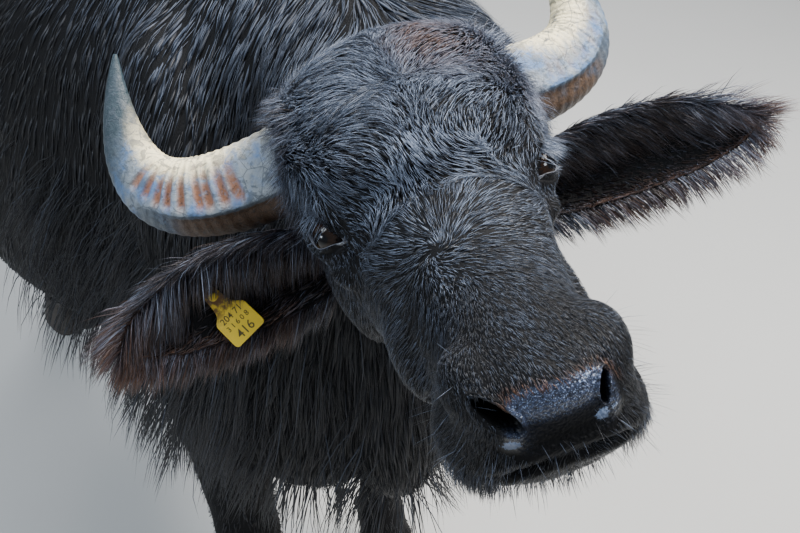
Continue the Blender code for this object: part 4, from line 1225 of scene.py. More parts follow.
horns = {
    "line": {
        "left": [(0.047, 0.099, 0.057), (0.247, 0.130, -0.002),
                 (0.295, 0.183, 0.042), (0.206, 0.278, 0.206)],
        "right": [(0.048, 0.099, 0.059), (0.268, 0.115, -0.016),
                  (0.324, 0.167, 0.025), (0.269, 0.249, 0.169)],
    },
    "base": (0.036, 0.049),  # half depth, half height
    "tip": 0.0022,
    "rings": 220,
    "sides": 64,
    "grooves": [0.24, 0.275, 0.315, 0.36, 0.405, 0.45, 0.50, 0.55, 0.60],
    "grooveDepth": 0.0046,
    "grooveWidth": 0.0135,
    "focus": (0.215, 0.215, 0.160),  # what the horns bend round
    "grooved": {"left": 0.15, "right": 1.0},
    "edge": {"left": 108, "right": 122},  # degrees from the inner curve over the front to the lower edge
}


def bezier(points, share):
    a, b, c, d = points
    rest = 1 - share
    return rest**3 * a + 3 * rest**2 * share * b + 3 * rest * share**2 * c + share**3 * d


def makeHorn(name):
    side = sides[name]
    draw = np.random.default_rng(41 + side)
    line = [Vector((side * x, y, z)) for x, y, z in horns["line"][name]]
    x, y, z = horns["focus"]
    focus = Vector((side * x, y, z))
    shares = np.linspace(0.04, 1, horns["rings"])
    leans = draw.uniform(-0.010, 0.010, len(horns["grooves"]))
    edge, grooved = horns["edge"][name], horns["grooved"][name]
    marks = {"groove": [], "inner": [], "along": [], "under": []}
    rings = []
    for share in shares.tolist():
        centre = bezier(line, share)
        along = (bezier(line, min(share + 0.01, 1.0)) - bezier(line, share - 0.01)).normalized()
        inner = focus - centre
        inner = (inner - along * inner.dot(along)).normalized()
        front = along.cross(inner).normalized()
        if front.y > 0:
            front = -front
        taper = (1 - share**2.2) ** 0.9
        high = horns["base"][1] * taper + horns["tip"]
        deep = horns["base"][0] * taper + horns["tip"]
        lower = smoothStep(0.62, 0.30, share)
        ring = []
        for k, (a, b) in enumerate(section(horns["sides"], high, deep, deep, 2.2)):
            angle = np.degrees(np.arctan2(b, a))  # 0 at the inner curve, 90 in front, 180 outside
            facing = smoothStep(28, 84, angle) * smoothStep(edge - 2, edge - 16, angle) * grooved
            cut = 0.0
            for where, lean in zip(horns["grooves"], leans):
                bowed = where + lean * sin(radians(angle)) + 0.010 * cos(radians(angle))
                cut = max(cut, np.exp(-(((share - bowed) / horns["grooveWidth"]) ** 4)))
            cut *= facing * min(taper * 1.2, 1.0)
            beyond = (angle if angle > 0 else angle + 360) - edge
            lip = bell((beyond, 9)) * lower
            under = smoothStep(2, 9, beyond) * smoothStep(120, 70, beyond) * lower
            rough = 0.0005 * sin(share * 210 + 3 * radians(angle)) * taper
            grow = 0.0030 * lip - horns["grooveDepth"] * cut - 0.0040 * under - rough
            size = 1 + grow / max((a * a + b * b) ** 0.5, 0.004)
            ring.append(centre + inner * float(a * size) + front * float(b * size))
            marks["groove"].append(cut)
            marks["inner"].append(0.5 + 0.5 * cos(radians(angle)))
            marks["along"].append(share)
            marks["under"].append(under)
        rings.append(ring)
    shape = moved(loft(rings), head)
    mesh = meshFrom(f"horn_{name}_fine", [shape])
    for mark, values in marks.items():
        setValue(mesh, mark, values)
    return asPiece(newObject(f"horn_{name}_fine", mesh), hornFinish, ["horn_" + name])


for hornName in sides:
    makeHorn(hornName)
print("horns made")

eyes = {
    "iris": 0.0168,
    "pupil": (0.0100, 0.0066),
    "cornea": 0.0016,
    "opening": (0.0172, 0.0136, 0.0116),  # half length, height of the upper and the lower lid
    "tilt": -1.0,  # the inner corner hangs lower
    "shift": (-0.0035, 0.0012),
    "corner": 0.0100,  # length of the point towards the nose
    "bald": (0.0235, 0.0158),  # half length and half height of the skin without hair
}


def makeEye(name):
    side = sides[name]
    centre, gaze, front, rise = eyeAxes(side)
    around, radius = 64, eyeBall["radius"]
    wide, high = eyes["pupil"]
    marks = {"ring": [], "bar": [], "fibre": []}
    grid = []
    strands = np.random.default_rng(51).random(around)
    for polar in np.linspace(0, pi, 49)[1:-1]:
        facing = polar < pi / 2
        row = []
        for j in range(around):
            turn = 2 * pi * j / around
            u, v = sin(polar) * cos(turn) * radius, sin(polar) * sin(turn) * radius
            reach = (u * u + v * v) ** 0.5
            bulge = eyes["cornea"] * max(0.0, 1 - (reach / (eyes["iris"] * 1.08)) ** 2) if facing else 0
            depth = radius * cos(polar) + bulge
            row.append(tuple(np.array(centre) + gaze * depth + front * u + rise * v))
            marks["ring"].append(min(reach / eyes["iris"], 2.0) if facing else 2.0)
            marks["bar"].append(((u / wide) ** 2 + (v / high) ** 2) ** 0.5 if facing else 9.0)
            marks["fibre"].append(strands[j])
        grid.append(row)
    mesh = meshFrom(f"eyeball_{name}", [moved(loft(grid), head)])
    for mark, values in marks.items():
        setValue(mesh, mark, values)
    return asPiece(newObject(f"eyeball_{name}", mesh), eyeFinish, ["eye_" + name])


def lidEdge(angle):
    half, high, low = eyes["opening"]
    u = half * cos(angle) + eyes["corner"] * max(cos(angle), 0.0) ** 7
    v = sin(angle) * (high if sin(angle) > 0 else low) * (1 - 0.22 * cos(angle) ** 2)
    tilt = radians(eyes["tilt"])
    across, up = eyes["shift"]
    return u * cos(tilt) - v * sin(tilt) + across, u * sin(tilt) + v * cos(tilt) + up


def makeLids(name):
    side = sides[name]
    centre, gaze, front, rise = eyeAxes(side)
    around = 84
    # distance out from the edge, height over the eyeball's own sphere, for the upper and the lower lid
    ladder = [(-0.0010, -0.0060, -0.0060), (0.0000, 0.0002, 0.0002), (0.0004, 0.0014, 0.0013),
              (0.0016, 0.0025, 0.0021), (0.0034, 0.0029, 0.0023), (0.0056, 0.0026, 0.0016),
              (0.0076, 0.0014, 0.0006), (0.0092, 0.0022, 0.0013), (0.0112, 0.0036, 0.0020),
              (0.0134, 0.0040, 0.0014)]
    # distance out from the edge and share of the way to the skin
    skirt = [(0.0165, 0.25), (0.0200, 0.55), (0.0240, 0.85), (0.0285, 1.0), (0.0325, 1.2)]
    flatter = 0.0165  # from this reach on the lids leave the eyeball's sphere
    centreAt = np.array(centre)
    angles = [2 * pi * j / around for j in range(around)]
    edges = [lidEdge(angle) for angle in angles]
    lengths = [max((u * u + v * v) ** 0.5, 1e-6) for u, v in edges]
    ways = [(front * u + rise * v) / length for (u, v), length in zip(edges, lengths)]
    rings, pale = [], []
    for out, upper, lower in ladder:
        ring = []
        for angle, length, way in zip(angles, lengths, ways):
            share = 0.5 + 0.5 * np.tanh(sin(angle) * 4)
            ball = eyeBall["radius"] + lower + (upper - lower) * share
            reach = length + out
            corner = flatter + (reach - flatter) * 0.25 if reach > flatter else reach
            depth = max(ball**2 - corner**2, 0.0) ** 0.5
            ring.append(centreAt + gaze * depth + way * reach)
            # painted wet highlight on the lower lid's edge and in the tear's corner
            onEdge = (1.0 if sin(angle) < -0.05 else 0.2) * (0 <= out < 0.0014)
            tear = 0.6 * (cos(angle) > 0.90) * (sin(angle) < 0.15) * (0 <= out < 0.0060)
            pale.append(max(onEdge, tear))
        rings.append(ring)
    last = rings[-1]
    inward = head.to_3x3() @ Vector(-gaze)
    for out, share in skirt:
        ring = []
        for start, length, way in zip(last, lengths, ways):
            flat = centreAt + way * (length + out)
            hit = headGuide.tree.ray_cast(head @ Vector(flat + gaze * 0.05), inward, 0.09)[0]
            skinAt = (np.array(inHead @ hit) if hit is not None else flat) - gaze * 0.0012
            near = flat - gaze * ((flat - start) @ gaze)
            ring.append(near + (skinAt - near) * min(share, 1.0) - gaze * max(share - 1, 0) * 0.02)
            pale.append(0.0)
        rings.append(ring)
    points = through(head, np.array(rings).reshape(-1, 3))
    faces = []
    for k in range(len(rings) - 1):
        for j in range(around):
            n = (j + 1) % around
            face = (k * around + j, k * around + n, (k + 1) * around + n, (k + 1) * around + j)
            faces.append(face if side > 0 else face[::-1])
    mesh = meshFrom(f"lids_{name}", [(points, faces)])
    setValue(mesh, "bare", [0.25] * len(points))
    setValue(mesh, "rim", pale)
    setValue(mesh, "hollow", [0.0] * len(points))
    setValue(mesh, "wet", [1.0 if value > 0 else 0.0 for value in pale])
    return asPiece(newObject(f"lids_{name}", mesh), hideFinish)


lidGuides = {}
for eyeName in sides:
    makeEye(eyeName)
    lidGuides[eyeName] = Guide(makeLids(eyeName).data)
print("eyes and lids made")

claws = {
    # z, x, y, half width, half length forward and back
    "rows": [
        (0.000, 0.033, -0.022, 0.0290, 0.066, 0.052),
        (0.014, 0.033, -0.021, 0.0295, 0.064, 0.050),
        (0.040, 0.029, -0.014, 0.0270, 0.056, 0.046),
        (0.0735, 0.026, -0.004, 0.0240, 0.046, 0.040),
    ],
    "sides": 48,
    "ringDepth": 0.0005,
    "lean": 0.12,
}


def makeClaws():
    for leg in pose["steps"]:
        side, coronet = footOf(leg)
        for name, way in (("outer", side), ("inner", -side)):
            rings = []
            for z, x, y, halfWidth, forward, back in smoothRows(claws["rows"], 12):
                z = max(z, 0.0)
                dip = 1 - claws["ringDepth"] * (1 + sin(z * 900)) / halfWidth * (z > 0.004)
                edge = 1 - 0.06 * max(0.0, 1 - z / 0.003) ** 2
                ring = []
                for a, b in section(claws["sides"], halfWidth, back, forward, 2.4):
                    acrossAt = coronet.x + way * (x + claws["lean"] * b) + a * dip * edge
                    ring.append((acrossAt, coronet.y + y + b * dip * edge, z))
                rings.append(ring)
            shape = moved(loft(rings), place)
            piece = newObject(f"hoof_{leg}_{name}", meshFrom("hoof", [shape]))
            asPiece(piece, hoofFinish, [f"claw_{leg}_{name}"])


makeClaws()
print("claws made")

tagForm = {
    "ear": "right",
    "pinAt": (0.555, -0.10),
    "endAt": (0.478, -1.00),
    "standoff": 0.0054,
    "thick": 0.0016,
    "outline": [(-0.0085, 0.0085), (0.0085, 0.0085), (0.0095, -0.006), (0.0120, -0.018), (0.0210, -0.026),
                (0.0215, -0.056), (0.0190, -0.059), (-0.0190, -0.059), (-0.0215, -0.056), (-0.0210, -0.026),
                (-0.0120, -0.018), (-0.0095, -0.006)],
    "bevel": 0.0004,
    # radius and height over the flag's front or the ear, of the pin's domed head and of the button
    "headAt": [(0.0001, 0.0022), (0.0030, 0.0021), (0.0046, 0.0016), (0.0052, 0.0002), (0.0030, -0.0002)],
    "pinEnd": (0.0029, -0.0200),
    "button": [(0.0001, -0.0235), (0.0116, -0.0233), (0.0120, -0.0226), (0.0120, -0.0212),
               (0.0112, -0.0206), (0.0030, -0.0204)],
    # words, size and height of each line
    "lines": [("204 71", 0.0105, -0.0310), ("3 1 6 0 8", 0.0085, -0.0405), ("416", 0.0150, -0.0545)],
}


def tagFrame():
    pin = earPoint(tagForm["ear"], *tagForm["pinAt"], 0)
    end = earPoint(tagForm["ear"], *tagForm["endAt"], 0)
    down = (end - pin).normalized()
    front = -earFrame(tagForm["ear"])[3]
    front = (front - down * front.dot(down)).normalized()
    side = (-down).cross(front)
    turn = Matrix((side, -down, front)).transposed().to_4x4()
    return head @ Matrix.Translation(pin) @ turn


def roundedOutline(points, radius=0.0025, steps=5):
    out = []
    for k, corner in enumerate(points):
        corner = Vector(corner)
        before, after = Vector(points[k - 1]), Vector(points[(k + 1) % len(points)])
        near = min(radius, (before - corner).length * 0.45, (after - corner).length * 0.45)
        a = corner + (before - corner).normalized() * near
        b = corner + (after - corner).normalized() * near
        for t in np.linspace(0, 1, steps):
            out.append((a * (1 - t) ** 2 + corner * 2 * t * (1 - t) + b * t * t))
    return out


def makeTag():
    at = tagFrame()
    outline = roundedOutline(tagForm["outline"])
    low = tagForm["standoff"]
    high = low + tagForm["thick"]
    rings = []
    bevel = tagForm["bevel"]
    for inset, z in ((bevel, low), (0.0, low + bevel), (0.0, high - bevel), (bevel, high)):
        pull = 1 - inset / 0.02
        rings.append([(p.x * pull, p.y + (1 - pull) * 0.03 * (1 if p.y < -0.03 else -1), z)
                      for p in outline])
    flag = newObject("tag_flag", meshFrom("tag_flag", [moved(loft(rings), at)]))
    setValue(flag.data, "stain", [float(smoothStep(-0.030, -0.012, p.y)) for p in outline] * len(rings))
    asPiece(flag, tagFinish, ["ear_tag_flag"], smooth=False)
    flag.data.set_sharp_from_angle(angle=radians(30))
    shapes = []
    pin = [(radius, high + over) for radius, over in tagForm["headAt"]] + [tagForm["pinEnd"]]
    for profile in (pin, tagForm["button"]):
        turns = [2 * pi * j / 40 for j in range(40)]
        shapes.append(moved(loft([[(r * cos(a), r * sin(a), z) for a in turns] for r, z in profile]), at))
    button = newObject("tag_button", meshFrom("tag_button", shapes))
    asPiece(button, tagFinish, ["ear_tag_button"])
    for number, (words, size, down) in enumerate(tagForm["lines"]):
        curve = bpy.data.curves.new("digits", "FONT")
        curve.body = words
        curve.size = size
        curve.align_x = "CENTER"
        curve.extrude = 0.00012
        curve.offset = 0.00004
        curve.resolution_u = 4
        text = newObject("digits", curve)
        graph = bpy.context.evaluated_depsgraph_get()
        mesh = bpy.data.meshes.new_from_object(text.evaluated_get(graph))
        bpy.data.objects.remove(text)
        mesh.transform(at @ Matrix.Translation((0, down, high + 0.0001)))
        asPiece(newObject(f"tag_digits_{number + 1}", mesh), inkFinish, smooth=False)


makeTag()
print("tag made")


def tuftMesh(name, stations, outs, widths, thicks, tone, warm, uv):
    # closed three-sided blades: stations (tufts, n, 3), the last is the tip
    count, steps = stations.shape[:2]
    rings = steps - 1
    along = np.empty_like(stations)
    along[:, 1:-1] = stations[:, 2:] - stations[:, :-2]
    along[:, 0] = stations[:, 1] - stations[:, 0]
    along[:, -1] = stations[:, -1] - stations[:, -2]
    side = unit(np.cross(along, outs))
    rise = unit(np.cross(side, along))
    half = side[:, :rings] * widths[:, :rings, None]
    high = rise[:, :rings] * thicks[:, :rings, None]
    base = stations[:, :rings]
    corner = np.stack([base - half, base + half, base + high], axis=2)
    points = np.concatenate([corner.reshape(count, -1, 3), stations[:, -1:, :]], axis=1)
    perTuft = rings * 3 + 1
    pattern = [(0, 1, 2)]
    for k in range(rings - 1):
        for j in range(3):
            a, b = k * 3 + j, k * 3 + (j + 1) % 3
            pattern += [(a, a + 3, b), (b, a + 3, b + 3)]
    last = (rings - 1) * 3
    pattern += [(last + j, perTuft - 1, last + (j + 1) % 3) for j in range(3)]
    pattern = np.array(pattern)
    triangles = (pattern[None] + (np.arange(count) * perTuft)[:, None, None]).reshape(-1, 3)
    mesh = bpy.data.meshes.new(name)
    mesh.vertices.add(count * perTuft)
    mesh.vertices.foreach_set("co", points.reshape(-1).astype(np.float32))
    mesh.loops.add(len(triangles) * 3)
    mesh.loops.foreach_set("vertex_index", triangles.reshape(-1).astype(np.int32))
    mesh.polygons.add(len(triangles))
    mesh.polygons.foreach_set("loop_start", np.arange(0, len(triangles) * 3, 3, dtype=np.int32))
    mesh.polygons.foreach_set("use_smooth", np.ones(len(triangles), bool))
    mesh.update(calc_edges=True)
    shares = np.repeat(np.linspace(0, 1, steps)[:rings], 3).tolist() + [1.0]
    across = [-1.0, 1.0, 0.0] * rings + [0.0]
    setValue(mesh, "along", np.tile(shares, count))
    setValue(mesh, "tone", np.repeat(tone, perTuft))
    setValue(mesh, "warm", np.repeat(warm, perTuft))
    patch = np.stack([np.array(shares) - 0.5, np.array(across) * 0.5], axis=1) * 0.003
    spots = (uv[:, None, :] + patch[None]).reshape(-1, 2)
    layer = mesh.uv_layers.new(name="OFBake")
    layer.data.foreach_set("uv", spots[triangles.reshape(-1)].astype(np.float32).ravel())
    return mesh


def rolledOut(along, across, over, span):
    # the skin's shape rolled out: the share of the span along it, and the angle round it
    share = (along - span[0]) / (span[1] - span[0])
    angle = np.arctan2(across, over) / (2 * pi) + 0.5
    return 0.02 + 0.96 * np.clip(np.stack([share, angle], axis=1), 0, 1)


tufts = {
    "quickShare": 0.5,
    "rootDepth": 0.0015,
    "thickness": 0.55,  # as a share of the width
    "pieceLimit": 196000,  # triangles
    "triangles": 0,  # grown so far
}


def growTufts(name, guide, count, density, comb, look, uvOf, seed):
    # hair that follows the skin: it leans with the comb and lifts towards its tip
    draw = np.random.default_rng(seed)
    roots, normals = guide.roots(count, density, draw)
    steps = look["steps"]
    length = look["length"](roots) * draw.uniform(0.70, 1.30, count)
    stations = np.empty((count, steps, 3))
    outs = np.empty((count, steps, 3))
    stations[:, 0] = roots - normals * tufts["rootDepth"]
    outs[:, 0] = normals
    at, out = roots, normals
    bend = draw.normal(0, look["stray"], count) + ripple(roots, look["waveSize"], seed + 1) * look["wander"]
    lift = look["lift"](roots) * draw.uniform(0.65, 1.35, count)
    first = comb(roots, normals)
    for k in range(1, steps):
        heading = first * 0.65 + comb(at, out) * 0.35
        heading = unit(heading - (heading * out).sum(axis=1, keepdims=True) * out)
        across = np.cross(out, heading)
        heading = heading * np.cos(bend)[:, None] + across * np.sin(bend)[:, None]
        at, out = guide.settle(at + heading * (length / (steps - 1))[:, None])
        share = k / (steps - 1)
        stations[:, k] = at + out * (lift * share ** 0.7)[:, None]
        outs[:, k] = out
    weave(name, roots, stations, outs, look, uvOf, seed, draw)


def hangTufts(name, roots, normals, headings, look, uvOf, seed):
    # hair that leaves its root along a heading and hangs freely
    draw = np.random.default_rng(seed)
    count, steps = len(roots), look["steps"]
    length = look["length"](roots) * draw.uniform(0.60, 1.30, count)
    stations = np.empty((count, steps, 3))
    stations[:, 0] = roots - normals * 0.001
    way = unit(headings + draw.normal(0, look["stray"], (count, 3)))
    for k in range(1, steps):
        way = unit(way + np.array((0, 0, -look["droop"])))
        stations[:, k] = stations[:, k - 1] + way * (length / (steps - 1))[:, None]
    outs = np.repeat(normals[:, None], steps, axis=1)
    weave(name, roots, stations, outs, look, uvOf, seed, draw)


def weave(name, roots, stations, outs, look, uvOf, seed, draw):
    count, steps = stations.shape[:2]
    gather(stations, roots, look["clump"], draw)
    width = look["width"](roots) * draw.uniform(0.75, 1.25, count)
    shares = np.linspace(0, 1, steps)
    shape = 0.80 + 0.7 * shares - 1.5 * shares**2
    widths = width[:, None] * shape[None]
    thicks = widths * tufts["thickness"]
    low, high = look["tones"]
    # each look's painted light raises the tone where light falls and lowers it where shade falls
    tone = low + (high - low) * draw.beta(2.0, 2.6, count) + look["paintedLight"](roots)
    tone = np.clip(tone + ripple(roots, 0.05, seed + 2) * 0.06, 0, 1)
    warm = np.clip(look["warm"](roots) * draw.uniform(0.3, 1.5, count), 0, 1)
    uv = uvOf(roots)
    order = np.argsort(roots[:, look["sortBy"]])
    faces = 6 * (steps - 2) + 4
    parts = int(np.ceil(count * faces / tufts["pieceLimit"]))
    for k, chosen in enumerate(np.array_split(order, parts)):
        label = name if parts == 1 else f"{name}_{k + 1}"
        mesh = tuftMesh(label, stations[chosen], outs[chosen], widths[chosen], thicks[chosen],
                        tone[chosen], warm[chosen], uv[chosen])
        asPiece(newObject(label, mesh), look["finish"])
    tufts["triangles"] += count * faces
    print(name, count, "tufts,", count * faces, "triangles")


def gather(stations, roots, clump, draw):
    # tips lean towards the nearest leading tuft, as hair does when it parts into locks
    leaders = draw.choice(len(roots), max(1, int(len(roots) / clump["of"])), replace=False)
    which = nearestIn(roots[leaders], roots)[0]
    shift = stations[leaders[which]] - stations
    far = np.linalg.norm(roots[leaders[which]] - roots, axis=1)
    pull = clump["pull"] * (far < clump["reach"])
    steps = stations.shape[1]
    for k in range(1, steps):
        stations[:, k] += shift[:, k] * (pull * (k / (steps - 1)) ** 1.4)[:, None]


def same(value):
    return lambda points: value + 0 * points[:, 0]


plainLook = {
    "finish": coatFinish,
    "steps": 3,
    "stray": 0.15,
    "wander": 0.20,
    "waveSize": 0.03,
    "tones": (0.1, 1.0),
    "paintedLight": same(0.0),
    "warm": same(0.0),
    "clump": {"of": 14, "pull": 0.35, "reach": 0.015},
    "sortBy": 1,
}

whorl = {"at": (-0.036, -0.150), "reach": 0.028, "swirl": 0.9}
ridge = {"at": -0.060, "wide": 0.018}


def fromWhorl(at):
    return np.hypot(at[:, 0] - whorl["at"][0], at[:, 1] - whorl["at"][1])


def headComb(points, outs):
    at = through(inHead, points)
    x, y, z = at.T
    # from the whorl outwards over the face, with a twist near it
    dx, dy = x - whorl["at"][0], y - whorl["at"][1]
    far = fromWhorl(at)
    twist = whorl["swirl"] * bell((far, whorl["reach"]))
    face = unit(stack(dx * np.cos(twist) - dy * np.sin(twist),
                      dx * np.sin(twist) + dy * np.cos(twist), -0.2 * far))
    # from the horns and the poll inwards and forwards over the crown, to a valley in its middle
    meet = stepColumn(-0.098, -0.070, y) * stepColumn(0.0, 0.03, z)
    aside = np.tanh((x + 0.022) / 0.050)
    face = blend(face, unit(stack(0.55 * aside, -0.60, -0.1)), meet)
    inward = np.clip(-(x + 0.008) * 16, -1.0, 1.0) * smoothStep(-0.07, -0.02, y)
    crown = unit(stack(inward, -0.75, -0.15))
    temple = stepColumn(0.098, 0.122, np.abs(x)) * stepColumn(-0.075, -0.050, -z)
    crown = blend(crown, unit(stack(np.sign(x) * 0.20, -0.40, -0.85)), temple)
    upper = stepColumn(-0.064, -0.056, y + 0.25 * np.maximum(np.abs(x) - 0.05, 0))
    way = blend(face, crown, upper)
    behind = stepColumn(0.150, 0.185, y)
    way = blend(way, unit(stack(x * 3, 0.9, -0.1)), behind)
    # down the cheeks and lips
    low = stepColumn(0.000, 0.045, -z)
    way = blend(unit(way), unit(stack(np.sign(x) * 0.1, 0.25, -1.0)), low)
    lip = stepColumn(0.22, 0.27, -y) * stepColumn(0.02, 0.05, -z)
    way = blend(way, unit(stack(np.sign(x) * 0.35, 0.15, -1.0)), lip)
    below = stepColumn(0.3, 0.8, -turned(inHead, outs)[:, 2]) * stepColumn(-0.32, -0.28, y)
    return turned(head, unit(blend(way, np.array((0, 1.0, -0.2)), below)))


def seenFromEye(at, side):
    # towards the nose, upwards and along the gaze from the middle of an eye
    centre, gaze, front, rise = eyeAxes(side)
    away = at - np.array(centre)
    return away @ front, away @ rise, away @ gaze


def clearOfEyes(at):
    # 0 on the eye openings, 1 away from them
    clear = np.ones(len(at))
    tilt = radians(eyes["tilt"])
    half, high = eyes["bald"]
    for side in sides.values():
        u, v, ahead = seenFromEye(at, side)
        u, v = u - eyes["shift"][0], v - eyes["shift"][1]
        a, b = u * cos(tilt) + v * sin(tilt), -u * sin(tilt) + v * cos(tilt)
        reach = np.sqrt((a / half) ** 2 + (b / high) ** 2)
        clear *= np.where(ahead > 0, smoothStep(0.95, 1.15, reach), 1.0)
    return clear


def headDensity(points, outs):
    # thicker round the whorl, on the nose and in the valley between the crown's two sides
    at = through(inHead, points)
    x, y, z = at.T
    grown = clearOfEyes(at) * smoothStep(0.98, 1.04, padField(at))
    grown *= smoothStep(0.9, 1.3, nostrilField(at)) * (y < 0.26) * (z > -0.215)
    grown *= smoothStep(0.003, 0.008, gapTo(mouthLine(), at)) * smoothStep(0.6, 0.2, glintField(at))
    seen = 0.30 + 0.70 * smoothStep(-0.17, -0.10, z)
    full = 1 + 1.2 * bell((fromWhorl(at), 0.022)) * (z > 0) + 1.7 * smoothStep(0.17, 0.24, -y)
    full = full + 1.4 * bell((x + 0.020, 0.024), (y + 0.058, 0.016)) * (z > 0)
    return grown * seen * full + 1e-9


def onCrown(at):
    return smoothStep(-0.07, 0.02, at[:, 1]) * smoothStep(0.01, 0.06, at[:, 2])


def headLength(points):
    at = through(inHead, points)
    length = 0.019 + onCrown(at) * 0.008 - smoothStep(0.10, 0.25, -at[:, 1]) * 0.005
    for side in sides.values():
        near = np.linalg.norm(at - np.array(eyeCentre(side)), axis=1)
        length = length * (1 - 0.6 * (1 - smoothStep(0.030, 0.060, near)))
    length = length * (1 - 0.35 * bell((fromWhorl(at), 0.015)))
    return length * (1 - 0.15 * smoothStep(0.25, 0.30, -at[:, 1]))


def atRidge(at):
    return bell((at[:, 1] - ridge["at"], ridge["wide"])) * smoothStep(0.02, 0.04, at[:, 2])


def headLift(points):
    at = through(inHead, points)
    x, y, z = at.T
    plush = smoothStep(-0.06, 0.05, y) * smoothStep(0.02, 0.07, z)
    side = smoothStep(0.075, 0.105, np.abs(x)) * plush
    low = 0.0026 - 0.0010 * smoothStep(0.17, 0.24, -y)
    return low + 0.0050 * atRidge(at) + 0.0050 * plush + 0.0050 * side


def headWarm(points):
    # sun-bleached beside the poll and along the top of the nose
    at = through(inHead, points)
    x, y, z = at.T
    poll = bell((y - 0.09, 0.035), (x - 0.050, 0.038)) * (z > 0.08) * 0.70
    poll = poll + 0.24 * smoothStep(0.0, 0.09, x) * smoothStep(-0.02, 0.05, y) * (z > 0.0)
    noseTop = bell((padField(at) - 1.06, 0.08)) * smoothStep(-0.030, -0.012, z)
    return poll + noseTop * 0.9


def headPaintedLight(points):
    # painted light and shade: lighter on the forehead and crown, most on the crown's lit side and on the ridge,
    # darker low on the cheeks, under the jaw and towards the nose
    at = through(inHead, points)
    x, y, z = at.T
    high = smoothStep(-0.06, 0.04, z)
    crown = smoothStep(-0.04, 0.04, y) * (0.08 + 0.22 * smoothStep(-0.02, 0.08, x))
    low = smoothStep(0.06, 0.13, -z) * (y > -0.24)
    nose = smoothStep(0.17, 0.25, -y)
    return 0.34 * atRidge(at) + (0.16 + crown) * high - 0.14 * low - 0.22 * nose + 0.04


def headUv(points):
    at = through(inHead, points)
    return rolledOut(-at[:, 1], at[:, 0], at[:, 2] + 0.05, (-0.22, 0.36))


headUnder = {
    **plainLook,
    "length": lambda points: headLength(points) * 0.8,
    "lift": lambda points: headLift(points) * 0.55,
    "width": lambda points: 0.0011 - 0.0005 * smoothStep(0.17, 0.26, -through(inHead, points)[:, 1]),
    "tones": (0.12, 0.52),
    "warm": headWarm,
}

headGuard = {
    **plainLook,
    "length": headLength,
    "lift": headLift,
    "width": lambda points: 0.00035 - 0.00004 * smoothStep(0.17, 0.26, -through(inHead, points)[:, 1]),
    "tones": (0.20, 0.88),
    "stray": 0.12,
    "wander": 0.15,
    "waveSize": 0.045,
    "clump": {"of": 12, "pull": 0.26, "reach": 0.012},
    "paintedLight": headPaintedLight,
    "warm": headWarm,
}

crownLocks = {
    **plainLook,
    "steps": 4,
    "length": same(0.031),
    "lift": lambda points: 0.0070 + 0.006 * smoothStep(0.075, 0.105, np.abs(through(inHead, points)[:, 0])),
    "width": same(0.00040),
    "stray": 0.12,
    "wander": 0.14,
    "waveSize": 0.06,
    "paintedLight": headPaintedLight,
    "warm": headWarm,
    "clump": {"of": 9, "pull": 0.22, "reach": 0.012},
}


def crownDensity(points, outs):
    at = through(inHead, points)
    return smoothStep(-0.045, 0.0, at[:, 1]) * smoothStep(0.03, 0.07, at[:, 2]) * (at[:, 1] < 0.19) + 1e-9


for coatName, count, density, look, seed in (
        ("coat_head_under", 12000, headDensity, headUnder, 61),
        ("coat_head", 43500, headDensity, headGuard, 63),
        ("coat_crown", 7000, crownDensity, crownLocks, 66)):
    growTufts(coatName, headGuide, count, density, headComb, look, headUv, seed)


def hangFrom(name, guide, count, density, seeds, out, way, look, uvOf):
    # free hair from picked roots, headed outwards by that much and along the way
    roots, normals = scatter(guide, count, density, seeds[0])
    hangTufts(name, roots, normals, normals * out + way, look, uvOf, seeds[1])


def scatter(guide, count, density, seed):
    return guide.roots(count, density, np.random.default_rng(seed))


ruffLook = {
    **plainLook,
    "steps": 4,
    "length": same(0.036),
    "width": same(0.00048),
    "paintedLight": lambda points: headPaintedLight(points) * 0.45,
    "droop": 0.28,
    "stray": 0.30,
    "warm": same(0.10),
    "clump": {"of": 16, "pull": 0.5, "reach": 0.02},
}


def growRuff(name, seed):
    # the crown's hair stands out over the root of the horn
    line = [Vector((sides[name] * x, y, z)) for x, y, z in horns["line"][name]]
    axis = np.array([bezier(line, share) for share in np.linspace(0, 0.4, 30).tolist()])

    def density(points, outs):
        gap = gapTo(axis, through(inHead, points))
        return (gap < 0.070) * smoothStep(0.035, 0.050, gap) + 1e-12

    roots, normals = scatter(headGuide, 1700, density, seed)
    at = through(inHead, roots)
    way = np.array((line[1] - line[0]).normalized())
    which = nearestIn(axis, at)[0]
    radial = unit(at - axis[which])
    headings = turned(head, way * 0.60 + radial * 0.75)
    hangTufts(f"coat_ruff_{name}", roots, normals, headings, ruffLook, headUv, seed + 1)


for hornName, hornSeed in (("left", 131), ("right", 135)):
    growRuff(hornName, hornSeed)

lidLook = {
    **plainLook,
    "length": same(0.0075),
    "lift": same(0.0014),
    "width": same(0.00034),
    "paintedLight": headPaintedLight,
}


def lidDensity(points, outs):
    at = through(inHead, points)
    clear = np.ones(len(at))
    for side in sides.values():
        u, v, ahead = seenFromEye(at, side)
        u, v = u - eyes["shift"][0], v - eyes["shift"][1]
        long = eyes["opening"][0] + np.where(u > 0, 0.009, 0.003)
        reach = np.sqrt((u / long) ** 2 + (v / (eyes["opening"][1] + 0.003)) ** 2)
        clear *= np.where(ahead > 0, smoothStep(0.98, 1.15, reach), 1.0)
    return clear + 1e-12


for eyeName, eyeSeed in (("left", 141), ("right", 145)):
    growTufts(f"coat_lids_{eyeName}", lidGuides[eyeName], 1800, lidDensity, headComb,
              lidLook, headUv, eyeSeed)

flapLook = {
    **plainLook,
    "steps": 4,
    "length": same(0.020),
    "width": same(0.00032),
    "droop": 0.25,
    "stray": 0.26,
    "tones": (0.0, 0.9),
    "clump": {"of": 6, "pull": 0.30, "reach": 0.006},
}


